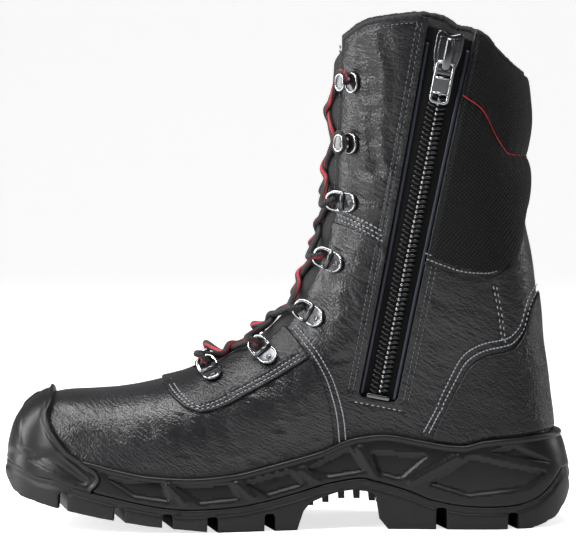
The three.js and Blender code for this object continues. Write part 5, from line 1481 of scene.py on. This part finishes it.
# %% Binding along the collar and the red seam
binding_parts = []
for side, keep in ((-1, lambda p: p[0] < 231.5), (-1, lambda p: p[0] > 250), (1, lambda p: True)):
    line = laid([point for point in COLLAR if keep(point)], side, step=0.5)
    path = skin_points(line, np.full(len(line), -0.9), True)
    noise = soft_noise(path * 0.9)
    binding_parts.append((*tube(path, 1.7 + 0.3 * noise, sides=14), 0))
binding = joined("collar_binding", binding_parts, [binding_cloth])
RED_SEAM = [(249.5, 235.8), (256, 232.5), (262.5, 226.6), (268, 217.9), (271.8, 208.7), (274, 204.9),
            (280.5, 202.8), (284.8, 202.2)]

# %% [markdown]
# The zip: a tape behind the slot in the leather, a coil on each side, a stop at the foot and a slider with
# its pull at the top. On the real coil each turn is a bent loop of nylon wire, seen from the front as a
# short slanted bar. The bars repeat, so Geometry Nodes make them from a row of points.

# %% Zip tape and welt
ZIP_TOP = ZIP_LENGTH + 3.5
tape_ups = np.linspace(-5, ZIP_TOP, 90)
under_collar = lambda line: line[line[:, 1] < np.interp(line[:, 0], *np.array(COLLAR).T) - 2.5]
tape_left, tape_right = (under_collar(zip_place(tape_ups, sign * (slot_half(tape_ups) + 4.5))) for sign in (-1, 1))
zip_tape = panel("zip_tape_cloth", outline_of(uv_of(*tape_left[::-1].T, -1, True), uv_of(*tape_right.T, -1, True)),
                 -3.7, -2.45, zip_cloth, back=True, spacing=2.0, edge=0.3)

welt_ups = np.linspace(1.5, 196, 120)
welt_paths = []
for side, lift in ((-1, -1.7), (1, -1.3)):
    welt_path = zip_place(welt_ups, side * (slot_half(welt_ups) - 1.4))
    welt_paths.append(skin_points(uv_of(*welt_path.T, -1, True), np.full(120, lift), True))
ZIP_LEAN = [0.19, 0, 0.98]
welt_normal = form_normal(*form_of(uv_of(*zip_place(90, 0).T, -1, True), True))[0]
zip_welt = joined("zip_welt", [(*tube(path, 0.6, sides=10, wide=1.7, up=np.cross(welt_normal, ZIP_LEAN)), 0)
                               for path in welt_paths], [zip_edge])

# %% Instances on points, with Geometry Nodes
def bead_mesh(length, width, height, sides=8, rings=5):
    """A small rounded bar along X."""
    points, faces = [], []
    for i in range(rings):
        angle = np.pi * (i + 0.5) / rings
        x, r = -math.cos(angle), math.sin(angle) ** 0.6
        for k in range(sides):
            turned = 2 * np.pi * k / sides
            points.append((x * length / 2000, r * width / 2000 * math.cos(turned),
                           r * height / 2000 * math.sin(turned)))
    for i in range(rings - 1):
        for k in range(sides):
            low, high, after = i * sides, (i + 1) * sides, (k + 1) % sides
            faces.append((low + k, low + after, high + after, high + k))
    faces.append(tuple(range(sides))[::-1])
    faces.append(tuple((rings - 1) * sides + k for k in range(sides)))
    mesh = bpy.data.meshes.new("bead")
    mesh.from_pydata(points, [], faces)
    mesh.shade_smooth()
    return bpy.data.objects.new("bead", mesh)


def placing_tree():
    """Geometry Nodes: one object on each point, turned by the point's own turn, with a seeded spread in size."""
    tree = bpy.data.node_groups.new("placed along a row", "GeometryNodeTree")
    for label, kind in (("Rows", "NodeSocketGeometry"), ("Bar", "NodeSocketObject"), ("Size", "NodeSocketFloat"),
                        ("Spread", "NodeSocketFloat"), ("Seed", "NodeSocketInt"), ("Finish", "NodeSocketMaterial")):
        tree.interface.new_socket(label, in_out="INPUT", socket_type=kind)
    tree.interface.new_socket("Bars", in_out="OUTPUT", socket_type="NodeSocketGeometry")
    given, out = tree.nodes.new("NodeGroupInput"), tree.nodes.new("NodeGroupOutput")
    shape = node(tree, "GeometryNodeObjectInfo")
    turned = node(tree, "GeometryNodeInputNamedAttribute", data_type="FLOAT_VECTOR")
    turned.inputs["Name"].default_value = "turn"
    spread = node(tree, "FunctionNodeRandomValue", data_type="FLOAT")
    low, high = maths_in(tree, given.outputs["Size"], given.outputs["Spread"])
    link(tree, low, spread.inputs[2])
    link(tree, high, spread.inputs[3])
    link(tree, given.outputs["Seed"], spread.inputs["Seed"])
    placed = node(tree, "GeometryNodeInstanceOnPoints")
    link(tree, given.outputs["Rows"], placed.inputs["Points"])
    link(tree, given.outputs["Bar"], shape.inputs["Object"])
    link(tree, shape.outputs["Geometry"], placed.inputs["Instance"])
    link(tree, turned.outputs["Attribute"], placed.inputs["Rotation"])
    link(tree, spread.outputs[1], placed.inputs["Scale"])
    real = node(tree, "GeometryNodeRealizeInstances")
    coat = node(tree, "GeometryNodeSetMaterial")
    link(tree, placed.outputs["Instances"], real.inputs["Geometry"])
    link(tree, real.outputs["Geometry"], coat.inputs["Geometry"])
    link(tree, given.outputs["Finish"], coat.inputs["Material"])
    link(tree, coat.outputs["Geometry"], out.inputs["Bars"])
    return tree


def maths_in(tree, size, spread):
    found = []
    for operation in ("SUBTRACT", "ADD"):
        made = node(tree, "ShaderNodeMath", operation=operation)
        link(tree, size, made.inputs[0])
        link(tree, spread, made.inputs[1])
        found.append(made.outputs[0])
    return found


PLACING = placing_tree()


def turns_of(along, out):
    """Euler turns that lay X along a row and Z out of the surface."""
    found = []
    for x_axis, z_axis in zip(along, out):
        x_axis = Vector(x_axis).normalized()
        z_axis = Vector(z_axis)
        z_axis = (z_axis - z_axis.dot(x_axis) * x_axis).normalized()
        found.append(Matrix((x_axis, z_axis.cross(x_axis), z_axis)).transposed().to_euler()[:])
    return np.array(found)


def place_bars(name, points, turns, bar, material, size=1.0, spread=0.03, seed=3):
    """Bars on points, baked into a plain mesh."""
    cloud = bpy.data.meshes.new(name + "_points")
    cloud.from_pydata(to_frame(points).tolist(), [], [])
    layer = cloud.attributes.new("turn", "FLOAT_VECTOR", "POINT")
    layer.data.foreach_set("vector", np.asarray(turns, dtype=np.float32).ravel())
    holder = put(name + "_points", cloud)
    modifier = holder.modifiers.new("placed", "NODES")
    modifier.node_group = PLACING
    values = {"Bar": bar, "Size": size, "Spread": spread, "Seed": seed, "Finish": material}
    for item in PLACING.interface.items_tree:
        if item.item_type == "SOCKET" and item.in_out == "INPUT" and item.name in values:
            modifier[item.identifier] = values[item.name]
    graph = bpy.context.evaluated_depsgraph_get()
    mesh = bpy.data.meshes.new_from_object(holder.evaluated_get(graph))
    bpy.data.objects.remove(holder)
    mesh.name = name
    piece = put(name, mesh)
    print(f"{name}: {len(points)} bars, {len(mesh.polygons)} faces")
    return piece


def frame_at(flat, back=True):
    """Points of the form and its normals at places (u, v)."""
    return form_point(*form_of(flat, back)), form_normal(*form_of(flat, back))


# %% Coils of the zip
# The heads between the two rows of the black coil are given a light grey, partly metallic colour: a painted glint along
# the middle of the chain.
coil_head_glint = finish("coil head painted glint", (0.24, 0.242, 0.25), 1.3, 0.22, 0.05, MOTTLE, 0.01, Metallic=0.8)
PITCH = 2.7
coil_ups = np.arange(4.4, ZIP_LENGTH - 24, PITCH)
coil_places = []
for sign in (-1, 1):
    row = zip_place(coil_ups + (0.5 * PITCH if sign > 0 else 0), sign * 2.9)
    base, normal = frame_at(uv_of(*row.T, -1, True))
    run = unit(np.gradient(base, axis=0))
    across = np.cross(run, normal)
    coil_places.append((base + normal * -1.1, across * sign * 1.0 + run * (0.38 if sign < 0 else 0.22), normal))
coil_bar = bead_mesh(5.2, 1.9, 2.1)
zip_coils = place_bars("zip_coils", np.concatenate([p[0] for p in coil_places]),
                       np.concatenate([turns_of(p[1], p[2]) for p in coil_places]), coil_bar, coil_plastic, spread=0.02)
# Real beads for the coil's heads, coloured as painted glints rather than in the coil's own black.
dot_base, dot_normal = frame_at(uv_of(*zip_place(coil_ups + 0.3 * PITCH, 0.5).T, -1, True))
zip_glints = place_bars("zip_coil_heads", dot_base - 0.35 * dot_normal,
                        turns_of(np.gradient(dot_base, axis=0), dot_normal),
                        bead_mesh(1.9, 1.7, 1.5), coil_head_glint, spread=0.03)
core_base, core_normal = frame_at(uv_of(*zip_place(np.linspace(3.2, ZIP_LENGTH - 27, 90), 0).T, -1, True))
core_tubes = [(*tube(core_base + core_normal * -1.75, 0.75, sides=8, wide=5.2,
                     up=np.cross(core_normal[40], ZIP_LEAN)), 0)]
zip_core = joined("zip_coil_base", core_tubes, [zip_cloth])

# %% Slider, stop and pull
stop_frame = surface_frame(*zip_place(1.9, 0)[0], -1, zip_up, 0)
stop_parts = [plate(stop_frame, round_plate(13, 2.7, 0.9), -2.0, 1.1, 0, edge=0.5, spacing=1.4)]
zip_stop = joined("zip_bottom_stop", stop_parts, [slider_metal])

slider_frame = surface_frame(*zip_place(ZIP_LENGTH - 15, 0)[0], -1, zip_up, 0)
SLIDER_LOW, SLIDER_FACE, BRIDGE = -1.9, 2.5, 17.0
body_plate = np.array([
    (-7.9, 9.5), (-7.2, 11.8), (-5, 12.4), (-2.4, 11.2), (0, 10.5), (2.4, 11.2), (5, 12.4), (7.2, 11.8), (7.9, 9.5),
    (7.9, 1.0), (7.3, -3.0), (6.4, -6.4), (6.2, -10.2), (5.0, -12.2), (-5.0, -12.2), (-6.2, -10.2),
    (-6.4, -6.4), (-7.3, -3.0), (-7.9, 1.0)])
face_plate = np.array([(-5.6, 9.0), (5.6, 9.0), (5.8, 1.0), (4.6, -6.0), (4.2, -9.6), (-4.2, -9.6), (-4.6, -6.0),
                       (-5.8, 1.0)])
arch = np.pi * np.linspace(0, 1, 25)
bridge_path = np.stack([np.zeros(25), BRIDGE / 2 * np.cos(arch),
                        SLIDER_FACE - 0.6 + 3.9 * np.abs(np.sin(arch)) ** 0.42], axis=1)
slider_parts = [plate(slider_frame, body_plate, SLIDER_LOW, SLIDER_FACE - 0.5, 0, edge=0.9, spacing=1.6),
                plate(slider_frame, face_plate, SLIDER_FACE - 0.9, SLIDER_FACE, 0, edge=0.45, spacing=1.6),
                wire(slider_frame, bridge_path, 1.0 + 0.2 * np.sin(arch), 0, sides=14, wide=2.0,
                     up=slider_frame[:3, 0])]
zip_slider = joined("zip_slider_body", slider_parts, [slider_metal])
pull_metal = finish("pull metal", (0.3, 0.305, 0.315), 1.3, 0.22, 0.05, MOTTLE, 0.006, {"Fine": 500.0}, Metallic=1.0)
pull_plate = finish("pull plate", (0.07, 0.071, 0.074), 1.4, 0.34, 0.05, MOTTLE, 0.03)

PIVOT_UP, PIVOT_OUT = -BRIDGE / 2 + 2.4 + 1.1 + GAP, SLIDER_FACE + 1.1 + GAP
pull_frame = slider_frame.copy()
pull_frame[:3, 3] = local(slider_frame, [0, PIVOT_UP, PIVOT_OUT])[0]
pull_ring = at_height(round_plate(9.2, 21.6, 2.0, 0, -11.0), 0)
pull_parts = [wire(pull_frame, [(-4.6, 0, 0), (4.6, 0, 0)], 1.0, 0),
              wire(pull_frame, pull_ring, 0.9, 0, sides=10, closed=True, up=pull_frame[:3, 2]),
              plate(pull_frame, round_plate(8.0, 7.6, 1.2, 0, -12.7), -0.55, 0.55, 1, edge=0.25, spacing=2.0)]
pull_parts += [wire(pull_frame, [(-4.2, y, 0), (4.2, y, 0)], 0.8, 0, sides=10) for y in (-8.6, -16.8)]
zip_pull = joined("zip_puller", pull_parts, [pull_metal, pull_plate])

# %% [markdown]
# Ten D rings and four speed hooks hold the lace. A ring is a wire bow in a folded hinge over a base plate
# that is riveted down. A hook is an oval plate with a raised rim and a second oval above it, open to the
# throat. They're built once for each station, in that station's own frame.

# %% Stations along the facing
STATIONS = [(0.3845, "loop", STAY_FACE), (0.459, "loop", STAY_FACE), (0.5355, "loop", QUARTER_STEP),
            (0.6115, "loop", QUARTER_STEP), (0.6895, "loop", 0.0), (0.7705, "hook", 0.0), (0.854, "hook", 0.0)]


def ridge_tangent(share):
    (x1, z1), (x0, z0) = ridge_at(share + 0.004), ridge_at(share - 0.004)
    run = np.array([x1 - x0, z1 - z0])
    return run / np.linalg.norm(run)


def facing_place(share, away):
    start, run = np.array(ridge_at(share)), ridge_tangent(share)
    low, high = 0.0, 40.0
    for _ in range(30):
        depth = (low + high) / 2
        if half_width(start[0] + run[1] * depth, start[1] - run[0] * depth) < away:
            low = depth
        else:
            high = depth
    return start + np.array([run[1], -run[0]]) * low


def station_frame(row, side):
    share, _, under = STATIONS[row]
    matrix = surface_frame(*facing_place(share, THROAT_HALF + 8), side, ridge_tangent(share), under + 2 * GAP)
    return matrix @ np.diag([-1.0, -1.0, 1.0, 1.0]) if side < 0 else matrix


HINGE, REACH, RISE, CLAW = 1.6, 9.2, 5.2, 6.3


def ring_parts(matrix):
    """Wire bow, hinge and base plate of a D ring."""
    bend = np.radians(np.linspace(-90, 90, 15))
    round_end = np.stack([-2.4 - 6.2 * np.cos(bend), -5.6 * np.sin(bend)], axis=1)
    base = np.concatenate([[(1.6, 5.6), (-1.8, 5.6)], round_end, [(-1.8, -5.6), (1.6, -5.6)]])
    lip = at_height(spaced(base * 0.88 - [0.2, 0], 0.7, closed=True), 1.3)
    half = [(0.0, -4.7, 1.7), (0.22, -4.9, 2.3), (0.5, -4.75, 3.2), (0.75, -4.3, 4.1), (0.92, -3.2, 4.8),
            (1.0, -1.6, RISE)]
    bow = np.array(half + [(reach, -y, z) for reach, y, z in half[::-1]])
    bow[:, 0] = HINGE + (REACH - HINGE) * bow[:, 0]
    return [plate(matrix, base, 0.0, 1.25, 0, spacing=2.2),
            wire(matrix, lip, 0.5, 1, sides=8, closed=True, up=matrix[:3, 2]),
            wire(matrix, [(HINGE + 0.1, -5.2, 1.55), (HINGE + 0.1, 5.2, 1.55)], 1.45, 0, sides=14),
            plate(matrix, round_plate(3.4, 3.4, 1.69, -4.2), 1.1, 1.9, 0, edge=0.6, spacing=1.2),
            wire(matrix, spaced(bow, 0.6, True), 1.0, 1)]


def hook_parts(matrix):
    """Oval base with a raised rim, a neck and the oval claw above it."""
    rims = [wire(matrix, at_height(round_plate(*size), height), radius, 1, sides=8, closed=True, up=matrix[:3, 2])
            for size, height, radius in (((9.4, 10.4, 4.6, -2.8), 1.3, 0.5),
                                         ((6.6, 8.8, 3.2, -0.2), CLAW + 0.95, 0.45))]
    neck = [(2.6, 0, 0.8), (3.4, 0, 2.6), (3.5, 0, 4.6), (2.9, 0, 6.4)]
    return [plate(matrix, round_plate(10.4, 11.4, 5.1, -2.8), 0.0, 1.2, 0, spacing=2.0), rims[0],
            wire(matrix, spaced(neck, 0.5, True), 0.95, 0, sides=10, wide=1.8, up=matrix[:3, 1]),
            plate(matrix, round_plate(7.6, 9.8, 3.7, -0.2), CLAW, CLAW + 0.9, 0, spacing=2.0), rims[1]]


# %% Rings and hooks
# The raised rims, the lips and the wire bows take a lighter copy of the hardware's dark metal: a painted highlight
# where they catch the light.
painted_highlight_metal = finish("painted highlight metal", (0.46, 0.465, 0.475), 1.2, 0.17, 0.05, MOTTLE, 0.005, {"Fine": 400.0},
                      Metallic=1.0)
hardware = []
for row, (_, kind, _) in enumerate(STATIONS):
    for side, label in ((-1, "inner"), (1, "outer")):
        matrix = station_frame(row, side)
        parts = ring_parts(matrix) if kind == "loop" else hook_parts(matrix)
        piece = joined(f"{'ring' if kind == 'loop' else 'claw'}_{label}_{row + 1}", parts, [dark_metal, painted_highlight_metal])
        hardware.append((piece, f"lace_{kind}_{label}_{row + 1}"))
print(len(hardware), "rings and hooks")

# %% [markdown]
# The lace is one round braided cord. It crosses over the tongue between the stations and bends around each
# ring or neck. Its stripe is painted along one side, with the tube's own UV.

# %% Lace
LACE = 3.6
ring_radius, neck_radius = 1.0 + LACE / 2 + 2 * GAP, 2.2 + LACE / 2 + 2 * GAP
bends = np.radians([-105, -52, 0, 52, 105])
ring_turn = np.stack([REACH - ring_radius * np.cos(bends), 1.2 * bends, RISE + ring_radius * np.sin(bends)], axis=1)
neck_turn = np.stack([3 - neck_radius * np.cos(bends), neck_radius * np.sin(bends),
                      np.full(5, CLAW - LACE / 2 - GAP)], axis=1)
LACE_LIFT = 2.3


def facing_point(share, across, lift):
    side = -1 if across < 0 else 1
    x, z = facing_place(share, abs(across))
    run = ridge_tangent(share)
    normal = np.array([-run[1], 0, run[0]]) if abs(across) < 1 else side_normal(x, z, side)
    return side_point(x, z, side) + normal * lift


def station_turn(row, side):
    return local(station_frame(row, side), ring_turn if STATIONS[row][1] == "loop" else neck_turn)


def lace_strand(first):
    route = []
    for row, (share, _, under) in enumerate(STATIONS):
        side = first if row % 2 == 0 else -first
        bend = station_turn(row, side)
        if row == 0:
            bend = bend[2:]
        if row == len(STATIONS) - 1:
            bend = bend[:3]
        if row > 0:
            before = STATIONS[row - 1]
            for across in (-6, 0, 6):
                at = before[0] + (share - before[0]) * (0.5 + across / 32)
                route.append(facing_point(at, across * side, LACE_LIFT + 0.5 * max(before[2], under)
                                          + (2.2 if across == 0 and first < 0 else -0.5 if across == 0 else 0)))
        route += list(bend)
    return np.array(route)


ends = [station_turn(0, side)[:3] for side in (-1, 1)]
bar_line = [facing_point(STATIONS[0][0] - 0.012, across, LACE_LIFT + 2) for across in (-9, -3, 3, 9)]
lace_routes = [lace_strand(-1), lace_strand(1), np.concatenate([ends[0][::-1], bar_line, ends[1]])]
lace_parts = [(*tube(spaced(route, 0.9, True), LACE / 2 - 0.05, sides=14, turns=0.07), 0) for route in lace_routes]


def lace_material():
    """Round braid in dark grey with one red stripe along it, from the lengths along and around the cord."""
    material, tree, shader = new_material("lace cord")
    shader.inputs["Roughness"].default_value = 0.75
    where = node(tree, "ShaderNodeUVMap", uv_map="surface")
    parts = node(tree, "ShaderNodeSeparateXYZ")
    link(tree, where.outputs[0], parts.inputs[0])
    around = maths(tree, "FRACT", maths(tree, "MULTIPLY", parts.outputs[1], 1000.0))
    near = maths(tree, "ABSOLUTE", maths(tree, "SUBTRACT", around, 0.5))
    along = maths(tree, "MULTIPLY", parts.outputs[0], 1000.0)
    turned = maths(tree, "MULTIPLY", around, 18.85)
    braid = maths(tree, "MAXIMUM", *[
        maths(tree, "SINE", maths(tree, operation, maths(tree, "MULTIPLY", along, 3.3), turned))
        for operation in ("ADD", "SUBTRACT")])
    stripe = maths(tree, "LESS_THAN", maths(tree, "ADD", near, maths(tree, "MULTIPLY", braid, 0.02)), 0.085)
    mixed = node(tree, "ShaderNodeMix", data_type="RGBA")
    mixed.inputs[6].default_value = (0.013, 0.0132, 0.0145, 1)
    mixed.inputs[7].default_value = (0.3, 0.018, 0.026, 1)
    link(tree, stripe, mixed.inputs[0])
    # The braid's height also scales the cord's colour, from 0.55 in the grooves to 1.5 on the strands: painted shade in
    # the grooves and painted highlight on the strands, on top of the bump.
    shade = node(tree, "ShaderNodeMix", data_type="RGBA", blend_type="MULTIPLY")
    shade.inputs[0].default_value = 1.0
    tone = ranged(tree, braid, -1.0, 1.0, 0.55, 1.5)
    link(tree, mixed.outputs[2], shade.inputs[6])
    link(tree, tone, shade.inputs[7])
    link(tree, shade.outputs[2], shader.inputs["Base Color"])
    bump = node(tree, "ShaderNodeBump", Strength=1.0, Distance=0.00018)
    link(tree, braid, bump.inputs["Height"])
    link(tree, bump.outputs[0], shader.inputs["Normal"])
    return material


lace = joined("lace_cord", lace_parts, [lace_material()])
print("lace", len(lace.data.polygons), "faces")

# %% [markdown]
# The stitches. Each row was kept while its panel was made. Now each row becomes points a stitch apart, each
# with the way its stitch lies, and one small bar of thread is placed on every point.

# %% Stitches
STITCH, THREAD = 2.6, 0.75
stitch_bars = {"grey": (grey_thread, []), "dark": (dark_thread, []), "red": (red_thread, [])}
for line, back, lift, thread in stitch_rows:
    row = spaced(line, STITCH)
    base, normal = frame_at(row, back)
    run = np.gradient(base, axis=0)
    stitch_bars[thread][1].append((base + normal * (lift + 0.12), turns_of(run, normal)))
around_red = []
for x, z in spaced(RED_SEAM, 1.6, True):
    low, high = 0.0, 1.0
    for _ in range(30):
        reach = (low + high) / 2
        up_at = (z - ZIP_FOOT[1]) / zip_up[1]
        edge_x = zip_place(up_at, 0)[0, 0] + (slot_half(up_at) + 1.5) * zip_across[0]
        if back_at(z) + (edge_x - back_at(z)) * (1 - math.cos(reach * math.pi / 2)) > x:
            low = reach
        else:
            high = reach
    around_red.append(-reach)
around_red = np.array(around_red)
base = pad_point(around_red, np.ones(len(around_red)), 0.0)
normal = side_normal(*pad_place(around_red, np.ones(len(around_red))), -1.0)
stitch_bars["red"][1].append((base + normal * 0.4, turns_of(np.gradient(base, axis=0), normal)))
stitches = []
for label, (material, rows) in stitch_bars.items():
    bar = bead_mesh(1.8 if label != "red" else 2.3, THREAD, THREAD * 0.9, sides=6, rings=4)
    stitches.append(place_bars(f"{label}_stitches", np.concatenate([r[0] for r in rows]),
                               np.concatenate([r[1] for r in rows]), bar, material, spread=0.06, seed=7))

# %% [markdown]
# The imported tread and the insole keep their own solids, with a finish of their own. Every other solid is
# stood for by the pieces made above.

# %% What stands for what
def stands_for(piece, slot, *nodes, body="body"):
    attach(piece, body)
    if nodes:
        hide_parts(*nodes)


STANDS = [
    *[(piece, "leather", "upper") for piece in (vamp, quarter, shaft_inner, shaft_outer)],
    (lace_stay, "leather", "lace_stay"), (heel_counter, "leather", "heel_counter"),
    (tongue, "padded_textile", "tongue"), (collar_pad, "padded_textile", "collar_pad"),
    (binding, "lining", "upper"), (cushion, "sole_rubber", "midsole"), (toe_cap, "sole_rubber", "toe_cap"),
    *[(piece, "sole_rubber") for piece in treads],
    *[(piece, "zip_textile", "zip_tape") for piece in (zip_tape, zip_welt)],
    *[(piece, "zip_plastic", "zip_chain") for piece in (zip_core, zip_coils, zip_glints)],
    (zip_stop, "hardware", "zip_stop"), (zip_slider, "hardware", "zip_slider"),
]
for row in STANDS:
    stands_for(*row)
stands_for(zip_pull, "hardware", "zip_pull", body="pull")
for piece, solid in hardware:
    stands_for(piece, "hardware", solid)
stands_for(lace, "lace_cord", "lace")
for piece in stitches:
    stands_for(piece, "padded_textile" if piece.name.startswith("red") else "leather")
for name, material in (("outsole", tread_rubber), ("insole", lining_cloth)):
    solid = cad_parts[name]
    for slot in solid.material_slots:
        slot.material = material

# %% [markdown]
# The photo is a catalogue picture on white. Five soft lights stand around the boot: a broad one above,
# two at the left that draw a sheen along the toe and the shaft, and two weak ones at the right. The floor is
# near white and is seen from its front only, so that it doesn't hide the boot from behind.

# %% Floor and lights
sweep = [(-6.0, 0.0), (0.0, 0.0), (2.0, 0.0)]
sweep += [(2.0 + 1.5 * math.sin(t), 1.5 * (1 - math.cos(t))) for t in np.linspace(0.1, math.pi / 2, 12)] + [(3.5, 6.0)]
floor_mesh = bpy.data.meshes.new("floor")
floor_mesh.from_pydata([(x, y, z) for y, z in sweep for x in (-7, 7)], [],
                       [(2 * i, 2 * i + 1, 2 * i + 3, 2 * i + 2) for i in range(len(sweep) - 1)])
floor_mesh.shade_smooth()
floor = put("floor", floor_mesh)
floor_white, floor_tree, floor_shader = new_material("floor white")
floor_shader.inputs["Base Color"].default_value = (0.85, 0.85, 0.85, 1)
floor_shader.inputs["Roughness"].default_value = 0.5
floor_shader.inputs["Emission Color"].default_value = (1, 1, 1, 1)
seen = node(floor_tree, "ShaderNodeLightPath")
glow = maths(floor_tree, "MULTIPLY", seen.outputs["Is Camera Ray"], 0.72)
link(floor_tree, glow, floor_shader.inputs["Emission Strength"])
turned_away = node(floor_tree, "ShaderNodeNewGeometry")
one_sided = node(floor_tree, "ShaderNodeMixShader")
link(floor_tree, turned_away.outputs["Backfacing"], one_sided.inputs[0])
link(floor_tree, floor_shader.outputs[0], one_sided.inputs[1])
link(floor_tree, node(floor_tree, "ShaderNodeBsdfTransparent").outputs[0], one_sided.inputs[2])
link(floor_tree, one_sided.outputs[0], floor_tree.nodes["Material Output"].inputs["Surface"])
floor_mesh.materials.append(floor_white)
floor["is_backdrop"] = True


def soft_light(name, place, aim, size, watts, wide=None):
    data = bpy.data.lights.new(name, "AREA")
    data.shape = "RECTANGLE"
    data.size, data.size_y = size, wide or size
    data.energy = watts
    lamp = put(name, data)
    lamp.location = place
    lamp.rotation_euler = (Vector(aim) - Vector(place)).to_track_quat("-Z", "Y").to_euler()


soft_light("light over", (-0.15, -0.2, 1.25), (0, 0, 0.12), 1.2, 20, 0.4)
soft_light("light front left", (-1.1, -0.75, 0.75), (0, 0, 0.14), 0.16, 19, 1.1)
soft_light("light left", (-1.3, 0.25, 0.6), (0, 0, 0.14), 0.3, 14, 1.2)
soft_light("light back right", (1.1, 0.45, 0.7), (0, 0, 0.15), 0.35, 5, 1.2)
soft_light("light right", (1.15, -1.1, 0.8), (0, 0, 0.13), 0.16, 1.5, 0.9)
world = bpy.data.worlds.new("studio")
world.use_nodes = True
world_tree, backdrop = world.node_tree, world.node_tree.nodes["Background"]
backdrop.inputs["Color"].default_value = (1, 1, 1, 1)
seen = node(world_tree, "ShaderNodeLightPath")
link(world_tree, maths(world_tree, "ADD", maths(world_tree, "MULTIPLY", seen.outputs["Is Camera Ray"], 0.9), 0.06),
     backdrop.inputs["Strength"])
bpy.context.scene.world = world
bpy.context.scene.view_settings.view_transform = "Standard"

# %% Sizes, and the end
bpy.context.view_layer.update()
new_low, new_high = (list(corner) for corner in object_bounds())
print("scene's box", [round(v, 4) for v in new_low], [round(v, 4) for v in new_high])
